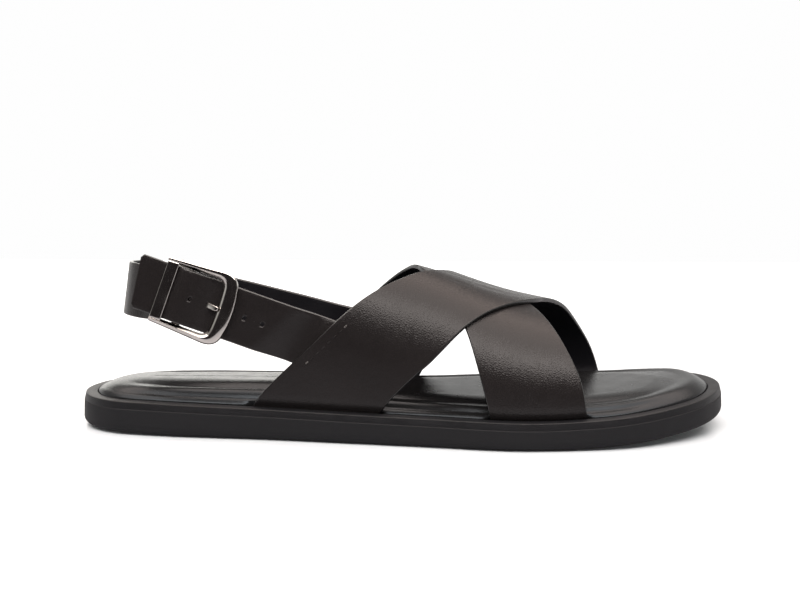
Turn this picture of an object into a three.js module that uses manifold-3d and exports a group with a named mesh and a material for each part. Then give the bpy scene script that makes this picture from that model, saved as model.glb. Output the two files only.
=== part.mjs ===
// A right-foot cross-strap sandal with a buckled heel strap, in millimetres. +X points to the toe, +Y to the
// inner (medial) side of the foot and +Z up. The origin is the middle of the sole's bounding box, on the ground.
import * as THREE from "three";
import { mergeVertices } from "three/addons/utils/BufferGeometryUtils.js";
import Module from "manifold-3d";

const wasm = await Module();
wasm.setup();

// Driving dimensions of the last and the sole
const SOLE_LENGTH = 288.5;
const BALL_WIDTH = 104.5;
const HEEL_HEIGHT = 14.35; // ground to the rim at the heel
const WAIST_HEIGHT = 12.6;
const BALL_HEIGHT = 11.8;
const TOE_SPRING = 6.6; // lift of the sole's underside at the toe tip
const HEEL_SPRING = 1; // the same at the back of the heel
const INSTEP_RISE = 57.5; // rim to the inside of the straps where they cross

// Sole layers
const MIDSOLE_THICKNESS = 3.1;
const LAYER_GAP = 0.3; // between two solids that meet
const SIDE_STEP = 0.45; // how far the midsole's edge stands back from the outsole's
const SOLE_EDGE_RADIUS = 2.6;
const SOLE_LEAN = 0.27; // how far the outsole's side leans in at its top
const RIM_WIDTH = 5.2; // ledge round the footbed
const RIM_DRAFT = 0.6; // lean of the midsole's edge
const RECESS_DEPTH = 1.6; // the footbed's seat in the midsole
const TREAD_DEPTH = 1.2;
const TREAD_WIDTH = 2.6;
const TREAD_PITCH = 8;
const TREAD_MARGIN = 13;

// Padded footbed
const PAD_RISE = 5.2; // rim to the middle of the pad at the ball

// Leather straps
const LEATHER = 2; // cross straps
const LAP_SINK = 0.4; // how far the over strap is pressed into the under strap
const STRAP_LEATHER = 1.8; // heel strap and billet
const FOLD_LEATHER = 1.3; // skived part round the buckle's bar
const BAND_WIDTH = 23.5; // heel strap and billet
const MARGIN_LENGTH = 10; // lasting margin under the footbed
const MARGIN_LEATHER = 0.9;
const TUCK_DEPTH = 2; // how far the cross straps turn in at their base
const TUCK_RISE = 6;
const SEAM_LAP = 8; // cross strap over the heel strap's and the billet's ends
const BAND_LEAN = 8; // degrees that the heel strap leans in at its top
const LAY_FROM = 26; // a band starts to lie against the cross strap this far behind that strap's rear edge
const LAY_TO = 4; // and lies against it from here
const LEAN_FROM = 22; // the heel strap starts to take the buckle's lean this far before the bar
const LEAN_TO = 4; // and has it from here
const HOLE_RADIUS = 0.95;
const HOLE_PITCH = 8.2;
const FREE_HOLES = [-1, 1, 2, 3]; // counted from the fastened one, away from the tip

// Buckle, in its own axes: along the strap from the bar to the outer bar, across the strap, and out of it
const BUCKLE_PITCH = 18.8; // degrees that the strap climbs to the heel
const BUCKLE_TURN = 3; // degrees that the strap turns in to the heel
const BUCKLE_LEAN = 9; // degrees that the strap leans in at its top
const BAR_RADIUS = 1.1;
const BAR_SINK = 2.9; // bar's axis to the middle of the billet's leather
const BULGE = 1.5; // of the billet over the bar
const PRONG_WIDTH = 2.6;
const PRONG_THICKNESS = 1.5;
const FRAME_RISE = 2.4; // thickness of the frame
const FRAME_TAIL = 10.9; // bar to the keeper's end
const FRAME_NOSE = 22.8; // bar to the outer bar's far edge
const OUTER_BAR_WIDTH = 7.3;
const RAIL_WIDTH = 2.4; // at the keeper
const RAIL_SPREAD = 1.6; // how much further apart the rails stand at the outer bar
const FRAME_SIDE_GAP = 0.4; // between strap and rail
const FRAME_CORNER = 7;
const FRAME_BOW = 1.6; // bulge of the outer bar
const KEEPER_WIDTH = 5.1;
const KEEPER_THICKNESS = 1.1;
const PRONG_REACH = 11.5; // bar to the fastened hole
const TIP_LENGTH = 21.5; // bar to the billet's free end
const TIP_SLANT = 0.13;
const FOLD_RETURN = 17; // bar to the end of the folded-back leaf
const LEAF_GAP = 0.15;

// The sole's outline: how far along it is from the heel as a share of SOLE_LENGTH, and how far each
// side lies from the long axis as a share of half BALL_WIDTH.
const OUTLINE = [
  { along: 0, lateral: -0.043, medial: 0.043 },
  { along: 0.02, lateral: 0.305, medial: 0.386 },
  { along: 0.06, lateral: 0.487, medial: 0.587 },
  { along: 0.12, lateral: 0.577, medial: 0.675 },
  { along: 0.2, lateral: 0.636, medial: 0.703 },
  { along: 0.3, lateral: 0.69, medial: 0.696 },
  { along: 0.42, lateral: 0.788, medial: 0.698 },
  { along: 0.55, lateral: 0.902, medial: 0.795 },
  { along: 0.66, lateral: 1, medial: 0.933 },
  { along: 0.75, lateral: 0.973, medial: 1 },
  { along: 0.84, lateral: 0.876, medial: 0.969 },
  { along: 0.92, lateral: 0.644, medial: 0.835 },
  { along: 0.97, lateral: 0.378, medial: 0.661 },
  { along: 1, lateral: -0.15, medial: 0.15 },
];

// The last over the straps: the crest's height over the rim as a share of INSTEP_RISE.
const CREST = [
  { along: 0.2, rise: 1.32 },
  { along: 0.36, rise: 1.2 },
  { along: 0.5, rise: 1.013 },
  { along: 0.53, rise: 0.98 },
  { along: 0.56, rise: 0.936 },
  { along: 0.65, rise: 0.785 },
  { along: 0.73, rise: 0.69 },
  { along: 0.85, rise: 0.55 },
];
const CREST_OFFSET = 0.09; // of half BALL_WIDTH, to the medial side
const ARCH_POWER = 2.3; // squareness of the arch's section

// The footbed's section: distance from its edge in millimetres, and its rise as a share of its crown along the
// sides of the shoe, round its heel and round its toe.
const PAD_SECTION = [
  { inset: 0.4, sides: 0.1, heel: 0.1, toe: 0.11 },
  { inset: 1.8, sides: 0.25, heel: 0.3, toe: 0.33 },
  { inset: 3.4, sides: 0.33, heel: 0.44, toe: 0.55 },
  { inset: 5, sides: 0.56, heel: 0.58, toe: 0.73 },
  { inset: 6.5, sides: 0.71, heel: 0.69, toe: 0.84 },
  { inset: 8.5, sides: 0.76, heel: 0.78, toe: 0.88 },
  { inset: 10.5, sides: 0.71, heel: 0.84, toe: 0.87 },
  { inset: 12.5, sides: 0.69, heel: 0.89, toe: 0.85 },
  { inset: 14.5, sides: 0.8, heel: 0.93, toe: 0.86 },
  { inset: 17, sides: 0.92, heel: 0.96, toe: 0.89 },
  { inset: 20.5, sides: 0.99, heel: 0.98, toe: 0.94 },
  { inset: 24.5, sides: 1, heel: 1, toe: 1 },
];

// The height of its crown along the sole as a share of PAD_RISE: fullest under the arch of the foot.
const PAD_CROWN = [
  { along: 0.05, height: 1.04 },
  { along: 0.15, height: 1.2 },
  { along: 0.24, height: 1.35 },
  { along: 0.32, height: 1.44 },
  { along: 0.42, height: 1.24 },
  { along: 0.52, height: 1.06 },
  { along: 0.6, height: 1.04 },
  { along: 0.76, height: 1.06 },
  { along: 0.86, height: 1 },
];

// Cross straps: turn is -1 at the lateral base, 0 at the crest and 1 at the medial base. The edges are shares
// of SOLE_LENGTH from the middle of the sole.
const OVER_STRAP = [
  { turn: -1, rear: -0.2225, front: -0.0285, lift: 0 },
  { turn: -0.875, rear: -0.1695, front: 0.013, lift: 0.1 },
  { turn: -0.75, rear: -0.1245, front: 0.051, lift: 0.3 },
  { turn: -0.5, rear: -0.054, front: 0.104, lift: 0.9 },
  { turn: -0.25, rear: 0.013, front: 0.159, lift: 1 },
  { turn: 0, rear: 0.069, front: 0.217, lift: 1 },
  { turn: 0.25, rear: 0.106, front: 0.254, lift: 1 },
  { turn: 0.5, rear: 0.131, front: 0.281, lift: 0.6 },
  { turn: 0.75, rear: 0.155, front: 0.307, lift: 0.1 },
  { turn: 1, rear: 0.169, front: 0.325, lift: 0 },
];
const UNDER_STRAP = [
  { turn: -1, rear: 0.134, front: 0.275, lift: 0 },
  { turn: -0.75, rear: 0.115, front: 0.264, lift: 0 },
  { turn: -0.5, rear: 0.095, front: 0.242, lift: 0 },
  { turn: -0.25, rear: 0.062, front: 0.217, lift: 0 },
  { turn: 0, rear: 0.0255, front: 0.188, lift: 0 },
  { turn: 0.25, rear: 0.002, front: 0.155, lift: 0 },
  { turn: 0.5, rear: -0.037, front: 0.121, lift: 0 },
  { turn: 0.75, rear: -0.092, front: 0.078, lift: 0 },
  { turn: 1, rear: -0.158, front: 0.021, lift: 0 },
];

// The heel strap's middle line from the inner cross strap round the heel to the buckle, as shares of SOLE_LENGTH
// along, half BALL_WIDTH across and INSTEP_RISE up from the ground.
const HEEL_LOOP = [
  { along: -0.01, across: 0.5, up: 0.545 },
  { along: -0.09, across: 0.53, up: 0.645 },
  { along: -0.181, across: 0.56, up: 0.755 },
  { along: -0.271, across: 0.56, up: 0.864 },
  { along: -0.352, across: 0.48, up: 0.962 },
  { along: -0.402, across: 0.3, up: 1.035 },
  { along: -0.425, across: 0.05, up: 1.064 },
  { along: -0.413, across: -0.2, up: 1.075 },
  { along: -0.38, across: -0.365, up: 1.072 },
];

// The billet's middle over the bar of the buckle, in the same shares.
const BUCKLE_PLACE = { along: -0.3227, across: -0.52, up: 1.059 };

// How far the middle of the billet's leather stands out of the buckle's plane, as a share of BULGE, at a distance
// in millimetres along the strap from the bar.
const BILLET_LIFT = [
  { along: -8, lift: 0 },
  { along: -5.5, lift: 0.1 },
  { along: -3, lift: 0.7 },
  { along: 0, lift: 1 },
  { along: 3, lift: 0.95 },
  { along: 8, lift: 0.6 },
  { along: 12, lift: 0.08 },
  { along: 14, lift: 0 },
];

// The prong past the bar: along as a share of PRONG_REACH, out as a share of its own thickness.
const PRONG_SHANK = [
  { along: 0, out: -0.5 },
  { along: 0.34, out: -0.65 },
  { along: 0.68, out: -0.75 },
  { along: 0.84, out: -0.4 },
  { along: 0.96, out: 0.23 },
  { along: 1.1, out: 1.17 },
  { along: 1.27, out: 2.07 },
  { along: 1.43, out: 2.63 },
];

// Mesh steps
const OUTLINE_STEPS = 36; // stations along each side of the sole
const STRAP_STEPS = 28;
const STRAP_COLUMNS = 7;
const BAND_COLUMNS = 5;
const LAID_STEPS = 10;
const LOOP_STEPS = 28;
const FOLD_STEPS = 8;

// A smooth function through a table's rows, flat outside its ends.
function curveOf(rows, at, key) {
  const slope = rows.map((row, i) => {
    const a = rows[Math.max(i - 1, 0)];
    const b = rows[Math.min(i + 1, rows.length - 1)];
    return (b[key] - a[key]) / (b[at] - a[at]);
  });
  return (x) => {
    let i = rows.findIndex((row) => row[at] > x) - 1;
    if (x <= rows[0][at]) return rows[0][key];
    if (i < 0) return rows[rows.length - 1][key];
    const span = rows[i + 1][at] - rows[i][at];
    const t = (x - rows[i][at]) / span;
    const near = rows[i][key] * (1 + 2 * t) * (1 - t) ** 2 + slope[i] * span * t * (1 - t) ** 2;
    const far = rows[i + 1][key] * (3 - 2 * t) * t * t - slope[i + 1] * span * t * t * (1 - t);
    return near + far;
  };
}

const smooth = (x, a, b) => THREE.MathUtils.smoothstep(x, a, b);
const mix = THREE.MathUtils.lerp;
const vec = (x, y, z) => new THREE.Vector3(x, y, z);

// Solids
function geometryFrom(points, faces) {
  const geometry = new THREE.BufferGeometry();
  geometry.setAttribute("position", new THREE.Float32BufferAttribute(points.flatMap((p) => p.toArray()), 3));
  geometry.setIndex(faces.flat());
  return geometry;
}

function solidFrom(geometry) {
  const bare = geometry.clone();
  bare.deleteAttribute("normal");
  bare.deleteAttribute("uv");
  const merged = mergeVertices(bare, 1e-4);
  const mesh = new wasm.Mesh({
    numProp: 3,
    vertProperties: merged.attributes.position.array,
    triVerts: new Uint32Array(merged.index.array),
  });
  return new wasm.Manifold(mesh);
}

function geometryOf(solid) {
  const mesh = solid.getMesh();
  const geometry = new THREE.BufferGeometry();
  geometry.setAttribute("position", new THREE.BufferAttribute(mesh.vertProperties, 3));
  geometry.setIndex(new THREE.BufferAttribute(mesh.triVerts, 1));
  return geometry;
}

// The closed skin round two matching grids of points, given row by row: outer on one face and inner on the other.
function slab(outer, inner) {
  const rows = outer.length;
  const columns = outer[0].length;
  const size = rows * columns;
  const at = (r, c) => r * columns + c;
  const faces = [];
  const quad = (a, b, c, d) => faces.push([a, b, c], [a, c, d]);
  for (let r = 0; r + 1 < rows; r++) {
    for (let c = 0; c + 1 < columns; c++) {
      quad(at(r, c), at(r, c + 1), at(r + 1, c + 1), at(r + 1, c));
      quad(size + at(r, c), size + at(r + 1, c), size + at(r + 1, c + 1), size + at(r, c + 1));
    }
    quad(at(r, 0), at(r + 1, 0), size + at(r + 1, 0), size + at(r, 0));
    const c = columns - 1;
    quad(at(r, c), size + at(r, c), size + at(r + 1, c), at(r + 1, c));
  }
  for (let c = 0; c + 1 < columns; c++) {
    quad(at(0, c), size + at(0, c), size + at(0, c + 1), at(0, c + 1));
    const r = rows - 1;
    quad(at(r, c), at(r, c + 1), size + at(r, c + 1), size + at(r, c));
  }
  return geometryFrom([...outer.flat(), ...inner.flat()], faces);
}

// A stack of closed rings, each with as many points, skinned and capped. Points pair up across the ring's axis.
function loft(rings) {
  const count = rings[0].length;
  const faces = [];
  for (let k = 0; k + 1 < rings.length; k++) {
    for (let i = 0; i < count; i++) {
      const j = (i + 1) % count;
      const low = k * count;
      const high = low + count;
      faces.push([low + i, low + j, high + j], [low + i, high + j, high + i]);
    }
  }
  const cap = (start, up) => {
    const add = (a, b, c) => faces.push(up ? [a, b, c] : [a, c, b]);
    const half = count / 2;
    for (let i = 0; i < half; i++) {
      const a = start + i;
      const b = start + i + 1;
      const c = start + ((count - i - 1) % count);
      const d = start + ((count - i) % count);
      if (b !== c) add(a, b, c);
      if (d !== a) add(a, c, d);
    }
  };
  cap(0, false);
  cap((rings.length - 1) * count, true);
  return geometryFrom(rings.flat(), faces);
}

// Sole outline
const turnOf = (along) => Math.acos(1 - 2 * along) / Math.PI;
const outlineRows = OUTLINE.map((row) => ({ ...row, turn: turnOf(row.along) }));
const lateralShare = curveOf(outlineRows, "turn", "lateral");
const medialShare = curveOf(outlineRows, "turn", "medial");
const lateralAt = (x) => (-lateralShare(turnOf(x / SOLE_LENGTH + 0.5)) * BALL_WIDTH) / 2;
const medialAt = (x) => (medialShare(turnOf(x / SOLE_LENGTH + 0.5)) * BALL_WIDTH) / 2;

// Points round the sole from the heel, along the lateral side to the toe and back along the medial side,
// each with its inward direction.
const outline = (() => {
  const points = [];
  for (let i = 0; i <= OUTLINE_STEPS; i++) {
    const turn = i / OUTLINE_STEPS;
    const x = (-Math.cos(Math.PI * turn) * SOLE_LENGTH) / 2;
    points.push(vec(x, (-lateralShare(turn) * BALL_WIDTH) / 2, 0));
  }
  for (let i = OUTLINE_STEPS - 1; i > 0; i--) {
    const turn = i / OUTLINE_STEPS;
    const x = (-Math.cos(Math.PI * turn) * SOLE_LENGTH) / 2;
    points.push(vec(x, (medialShare(turn) * BALL_WIDTH) / 2, 0));
  }
  return points.map((place, i) => {
    const before = points[(i + points.length - 1) % points.length];
    const after = points[(i + 1) % points.length];
    const along = after.clone().sub(before).normalize();
    return { place, inward: vec(-along.y, along.x, 0) };
  });
})();

const share = (x) => x / SOLE_LENGTH + 0.5;

// How far sideways a line lies at x that runs at an inset from one side of the outline.
function besideAt(x, side, inset) {
  const edge = side < 0 ? lateralAt : medialAt;
  const slope = (edge(x + 1) - edge(x - 1)) / 2;
  return edge(x) - side * inset * Math.hypot(1, slope);
}

const underside = (x) => {
  const toe = TOE_SPRING * Math.max((share(x) - 0.72) / 0.28, 0) ** 1.8;
  return toe + HEEL_SPRING * Math.max((0.2 - share(x)) / 0.2, 0) ** 1.5;
};
const baseHeights = curveOf(
  [
    { along: 0.12, height: HEEL_HEIGHT },
    { along: 0.42, height: WAIST_HEIGHT },
    { along: 0.68, height: BALL_HEIGHT },
  ],
  "along",
  "height",
);
const rimHeight = (x) => baseHeights(share(x)) + TOE_SPRING * Math.max((share(x) - 0.7) / 0.3, 0) ** 1.8;

// One ring of the sole at an inset from its outline.
const ring = (inset, height) =>
  outline.map(({ place, inward }) => {
    const p = place.clone().addScaledVector(inward, inset);
    return p.setZ(height(p.x));
  });

function outsoleSolid() {
  const top = (x) => rimHeight(x) - MIDSOLE_THICKNESS;
  const r = SOLE_EDGE_RADIUS;
  const body = loft([
    ring(r, underside),
    ring(r * 0.29, (x) => underside(x) + r * 0.29),
    ring(0, (x) => underside(x) + r),
    ring(SOLE_LEAN, (x) => top(x) - 0.15),
    ring(SOLE_LEAN + 0.13, top),
  ]);
  const zone = loft([
    ring(TREAD_MARGIN, (x) => underside(x) - TREAD_DEPTH),
    ring(TREAD_MARGIN, (x) => underside(x) + TREAD_DEPTH),
  ]);
  const grooves = [];
  const stretches = [
    [-0.43, -0.24],
    [0.04, 0.42],
  ];
  for (const [from, to] of stretches) {
    for (let x = from * SOLE_LENGTH; x < to * SOLE_LENGTH; x += TREAD_PITCH) {
      grooves.push(solidFrom(new THREE.BoxGeometry(TREAD_WIDTH, BALL_WIDTH, 4 * HEEL_HEIGHT).translate(x, 0, 0)));
    }
  }
  const tread = wasm.Manifold.union(grooves).intersect(solidFrom(zone));
  return solidFrom(body).subtract(tread);
}

function midsoleSolid() {
  const under = (x) => rimHeight(x) - MIDSOLE_THICKNESS + LAYER_GAP;
  const edge = SIDE_STEP + RIM_DRAFT;
  const body = loft([
    ring(SIDE_STEP + 0.3, under),
    ring(SIDE_STEP, (x) => under(x) + 0.4),
    ring(edge, (x) => rimHeight(x) - 0.7),
    ring(edge - 0.2, (x) => rimHeight(x) - 0.3),
    ring(edge + 0.3, rimHeight),
  ]);
  const seat = loft([
    ring(edge + RIM_WIDTH, (x) => rimHeight(x) - RECESS_DEPTH),
    ring(edge + RIM_WIDTH, (x) => rimHeight(x) + RECESS_DEPTH),
  ]);
  return solidFrom(body).subtract(solidFrom(seat));
}

const SEAT_INSET = SIDE_STEP + RIM_DRAFT + RIM_WIDTH; // sole outline to the footbed's seat
const PAD_INSET = SEAT_INSET + LAYER_GAP;

// Footbed height over the rim, at a distance from its edge.
const [sideRise, heelRise, toeRise] = ["sides", "heel", "toe"].map((key) => curveOf(PAD_SECTION, "inset", key));
const padCrown = curveOf(PAD_CROWN, "along", "height");
function padRise(distance, x) {
  const rear = mix(sideRise(distance), heelRise(distance), 1 - smooth(share(x), 0.05, 0.16));
  return PAD_RISE * padCrown(share(x)) * mix(rear, toeRise(distance), smooth(share(x), 0.82, 0.92));
}

function insoleSolid() {
  const floor = (x) => rimHeight(x) - RECESS_DEPTH + LAYER_GAP;
  const spineFrom = -SOLE_LENGTH / 2 + 0.31 * BALL_WIDTH;
  const spineTo = SOLE_LENGTH / 2 - 0.36 * BALL_WIDTH;
  const edge = outline.map(({ place, inward }) => place.clone().addScaledVector(inward, PAD_INSET));
  const middle = (x) => (lateralAt(x) + medialAt(x)) / 2;
  const toSpine = (p) => {
    const x = THREE.MathUtils.clamp(p.x, spineFrom, spineTo);
    return vec(x, middle(x), 0).sub(p);
  };
  const level = (distance) =>
    edge.map((p) => {
      const way = toSpine(p);
      const q = p.clone().addScaledVector(way.clone().normalize(), Math.min(distance, way.length() * 0.97));
      return q.setZ(rimHeight(q.x) + padRise(distance, q.x));
    });
  const below = [0.6, 0].map((inset, i) =>
    edge.map((p) => {
      const q = p.clone().addScaledVector(toSpine(p).normalize(), inset);
      return q.setZ(i ? rimHeight(q.x) : floor(q.x));
    }),
  );
  return loft([...below, ...PAD_SECTION.map((row) => level(row.inset))]);
}

// The last: a square-shouldered arch over the sole at each station
const crestShare = curveOf(CREST, "along", "rise");
const crestRise = (x) => crestShare(share(x)) * INSTEP_RISE;
const crestSide = CREST_OFFSET * (BALL_WIDTH / 2);
const legInset = SEAT_INSET + LAYER_GAP + LEATHER; // sole outline to the inside of a strap's leg
const marginFloor = RECESS_DEPTH - LAYER_GAP; // rim down to the underside of the lasting margin

// The inside of a strap in the plane across the sole at x, from the lateral base at a turn of -1 to the medial at 1.
function lastPoint(x, turn) {
  const side = Math.sign(turn) || 1;
  const angle = ((1 - Math.abs(turn)) * Math.PI) / 2;
  const z = crestRise(x) * Math.sin(angle) ** (2 / ARCH_POWER);
  const wide = besideAt(x, side, legInset - TUCK_DEPTH);
  const tuck = TUCK_DEPTH * Math.max(1 - z / TUCK_RISE, 0) ** 2;
  const y = crestSide + (wide - crestSide) * Math.cos(angle) ** (2 / ARCH_POWER) - side * tuck;
  return vec(x, y, rimHeight(x) + z);
}

// Outward direction in that plane.
function lastNormal(x, turn) {
  const along = lastPoint(x, Math.min(turn + 0.01, 1)).sub(lastPoint(x, Math.max(turn - 0.01, -1)));
  return vec(0, -along.z, along.y).normalize();
}

// The leather of a cross strap, grown all round by a clearance to make the room that it fits in. Past a turn of 1
// it goes under the footbed: 2 is the bend and 3 the end of the margin.
function crossStrap(rows, grow) {
  const rear = curveOf(rows, "turn", "rear");
  const front = curveOf(rows, "turn", "front");
  const lift = curveOf(rows, "turn", "lift");
  const turns = [-3, -2.5, -2];
  for (let i = 0; i <= STRAP_STEPS; i++) turns.push((2 * i) / STRAP_STEPS - 1);
  turns.push(2, 2.5, 3);
  const margin = (x, turn, outer) => {
    const side = Math.sign(turn);
    const reach = Math.abs(turn) - 2;
    const bend = outer ? -LEATHER - grow : grow;
    const inward = reach > 0 ? reach * (MARGIN_LENGTH + grow) : bend;
    const up = outer ? -grow : MARGIN_LEATHER + grow;
    return vec(x, besideAt(x, side, legInset) - side * inward, rimHeight(x) - marginFloor + up);
  };
  const arch = (x, turn, outer) => {
    const height = lift(turn) * (LEATHER - LAP_SINK) + (outer ? LEATHER + grow : -grow);
    return lastPoint(x, turn).addScaledVector(lastNormal(x, turn), height);
  };
  const face = (outer) =>
    turns.map((turn) => {
      const base = THREE.MathUtils.clamp(turn, -1, 1);
      const from = rear(base) * SOLE_LENGTH - grow;
      const to = front(base) * SOLE_LENGTH + grow;
      return Array.from({ length: STRAP_COLUMNS + 1 }, (_, c) => {
        const x = mix(from, to, c / STRAP_COLUMNS);
        return Math.abs(turn) > 1 ? margin(x, turn, outer) : arch(x, turn, outer);
      });
    });
  return slab(face(true), face(false));
}

// Where the last's surface lies sideways at a height over the ground.
function lastSide(x, z, side) {
  const wide = besideAt(x, side, legInset - TUCK_DEPTH);
  const rise = THREE.MathUtils.clamp((z - rimHeight(x)) / crestRise(x), 0, 0.98);
  return crestSide + (wide - crestSide) * (1 - rise ** ARCH_POWER) ** (1 / ARCH_POWER);
}

// A cross strap's rear edge on one side, as how far along it lies at a height.
function rearEdge(rows, side) {
  const rear = curveOf(rows, "turn", "rear");
  const samples = Array.from({ length: 12 }, (_, i) => {
    const turn = side * (1 - i / 12);
    const place = lastPoint(rear(turn) * SOLE_LENGTH, turn);
    return { up: place.z, along: place.x };
  });
  return curveOf(samples, "up", "along");
}

// A point of a narrow strap, laid against the inside of the cross strap near that strap's rear edge.
function laid(point, side, edge, depth) {
  const near = smooth(point.x, edge(point.z) - LAY_FROM, edge(point.z) - LAY_TO);
  const y = lastSide(point.x, point.z, side) - side * depth;
  return vec(point.x, mix(point.y, y, near), point.z);
}

// The buckle's axes
const buckleAxes = (() => {
  const pitch = THREE.MathUtils.degToRad(BUCKLE_PITCH);
  const turn = THREE.MathUtils.degToRad(BUCKLE_TURN);
  const lean = THREE.MathUtils.degToRad(BUCKLE_LEAN);
  const along = vec(Math.cos(pitch) * Math.cos(turn), -Math.cos(pitch) * Math.sin(turn), -Math.sin(pitch));
  const level = along.clone().cross(vec(0, 0, 1)).normalize();
  const upright = level.clone().cross(along);
  const across = upright.multiplyScalar(Math.cos(lean)).addScaledVector(level, -Math.sin(lean));
  const out = along.clone().cross(across);
  const place = vec(
    BUCKLE_PLACE.along * SOLE_LENGTH,
    (BUCKLE_PLACE.across * BALL_WIDTH) / 2,
    BUCKLE_PLACE.up * INSTEP_RISE,
  );
  const matrix = new THREE.Matrix4().makeBasis(along, across, out).setPosition(place);
  return { along, across, out, place, matrix };
})();
const inBuckle = (along, across, out) => vec(along, across, out).applyMatrix4(buckleAxes.matrix);

const billetLift = curveOf(BILLET_LIFT, "along", "lift");

// Places across a band, from its upper edge down.
function acrossBand() {
  return Array.from({ length: BAND_COLUMNS + 1 }, (_, c) => (0.5 - c / BAND_COLUMNS) * BAND_WIDTH);
}

// A band of leather from a grid of places on its middle surface, row by row along it.
function band(grid, thickness) {
  const face = (side) =>
    grid.map((row, r) =>
      row.map((place, c) => {
        const acrossRow = row[Math.min(c + 1, row.length - 1)].clone().sub(row[Math.max(c - 1, 0)]);
        const next = grid[Math.min(r + 1, grid.length - 1)][c];
        const alongBand = next.clone().sub(grid[Math.max(r - 1, 0)][c]);
        const out = acrossRow.cross(alongBand).normalize();
        return place.clone().addScaledVector(out, (side * thickness[r]) / 2);
      }),
    );
  return solidFrom(slab(face(1), face(-1)));
}

const laidDepth = LAYER_GAP + STRAP_LEATHER / 2;

// The long free strap: its stations from the tip to past the outer bar, then on to the cross strap.
function billetSolid(cutter) {
  const edge = rearEdge(OVER_STRAP, -1);
  const columns = acrossBand();
  const ends = columns.map((across) => {
    let along = 0;
    let place = inBuckle(along, across, 0);
    while (place.x < edge(place.z) + SEAM_LAP) {
      along += 0.5;
      place = inBuckle(along, across, 0);
    }
    return along;
  });
  const stations = [-16, -11, -9, -7, -5, -3.4, -1.8, 0, 1.8, 3.6, 5.4, 7.2, 9, 10.4, 11.8, 13.4, 15, 18, 24];
  const tip = columns.map((across) => inBuckle(-TIP_LENGTH - TIP_SLANT * across, across, 0));
  const rows = stations.map((along) =>
    columns.map((across) => inBuckle(along, across, billetLift(along) * BULGE)),
  );
  const last = stations[stations.length - 1];
  for (let i = 1; i <= LAID_STEPS; i++) {
    rows.push(
      columns.map((across, c) => laid(inBuckle(mix(last, ends[c], i / LAID_STEPS), across, 0), -1, edge, laidDepth)),
    );
  }
  const strap = band([tip, ...rows], Array(rows.length + 1).fill(STRAP_LEATHER));
  const holes = FREE_HOLES.map((count) => {
    const hole = new THREE.CylinderGeometry(HOLE_RADIUS, HOLE_RADIUS, 12, 16);
    hole.rotateX(Math.PI / 2).translate(PRONG_REACH + count * HOLE_PITCH, 0, 0).applyMatrix4(buckleAxes.matrix);
    return solidFrom(hole);
  });
  return strap.subtract(wasm.Manifold.union(holes)).subtract(cutter);
}

// The heel strap from the inner cross strap round the heel to the buckle, over its bar and back on itself.
function heelStrapSolid(cutter) {
  const edge = rearEdge(UNDER_STRAP, 1);
  const columns = acrossBand();
  const foldRadius = BAR_RADIUS + LAYER_GAP + FOLD_LEATHER / 2;
  const top = foldRadius - BAR_SINK;
  const loop = HEEL_LOOP.map((row) =>
    vec(row.along * SOLE_LENGTH, (row.across * BALL_WIDTH) / 2, row.up * INSTEP_RISE),
  );
  const toBar = [inBuckle(-11, -1.2, top - 2.7), inBuckle(-7, -0.4, top - 1.45), inBuckle(-3, 0, top - 0.3)];
  const path = new THREE.CatmullRomCurve3([...loop, ...toBar, inBuckle(0, 0, top)], false, "centripetal");
  const length = path.getLength();
  const lean = Math.tan(THREE.MathUtils.degToRad(BAND_LEAN));
  const outAt = (share) => vec(0, 0, -1).cross(path.getTangentAt(share)).normalize();
  const placeAt = (share, across) => {
    const tangent = path.getTangentAt(share);
    const out = outAt(share);
    const upright = out.clone().cross(tangent).addScaledVector(out, -lean).normalize();
    upright.lerp(buckleAxes.across, smooth(share * length, length - LEAN_FROM, length - LEAN_TO)).normalize();
    return path.getPointAt(share).addScaledVector(upright, across);
  };
  const starts = columns.map((across) => {
    let share = 0.2;
    let place = placeAt(share, across);
    while (share > 0.001 && place.x < edge(place.z) + SEAM_LAP) {
      share -= 0.001;
      place = placeAt(share, across);
    }
    return share;
  });
  const rows = [];
  const thickness = [];
  for (let i = 0; i < LAID_STEPS; i++) {
    rows.push(
      columns.map((across, c) => laid(placeAt(mix(starts[c], 0.34, i / LAID_STEPS), across), 1, edge, laidDepth)),
    );
    thickness.push(STRAP_LEATHER);
  }
  const skive = (back) => mix(FOLD_LEATHER, STRAP_LEATHER, smooth(back, 3, 12));
  for (let i = 0; i <= LOOP_STEPS; i++) {
    const share = mix(0.34, 1, 1 - (1 - i / LOOP_STEPS) ** 1.25);
    rows.push(columns.map((across) => placeAt(share, across)));
    thickness.push(skive((1 - share) * length));
  }
  for (let i = 1; i < FOLD_STEPS; i++) {
    const angle = Math.PI * (0.5 - i / FOLD_STEPS);
    const along = foldRadius * Math.cos(angle);
    const out = foldRadius * Math.sin(angle) - BAR_SINK;
    rows.push(columns.map((across) => inBuckle(along, across, out)));
    thickness.push(FOLD_LEATHER);
  }
  const leaves = (STRAP_LEATHER + FOLD_LEATHER) / 2 + LEAF_GAP;
  for (const back of [0, 2, 4, 6, 8, 10, 13, FOLD_RETURN]) {
    const share = 1 - back / length;
    const apart = mix(2 * foldRadius, leaves, smooth(back, 0, 9));
    const out = back > 6 ? outAt(share) : buckleAxes.out;
    rows.push(columns.map((across) => placeAt(share, across).addScaledVector(out, -apart)));
    thickness.push(FOLD_LEATHER);
  }
  return band(rows, thickness).subtract(cutter);
}

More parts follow.
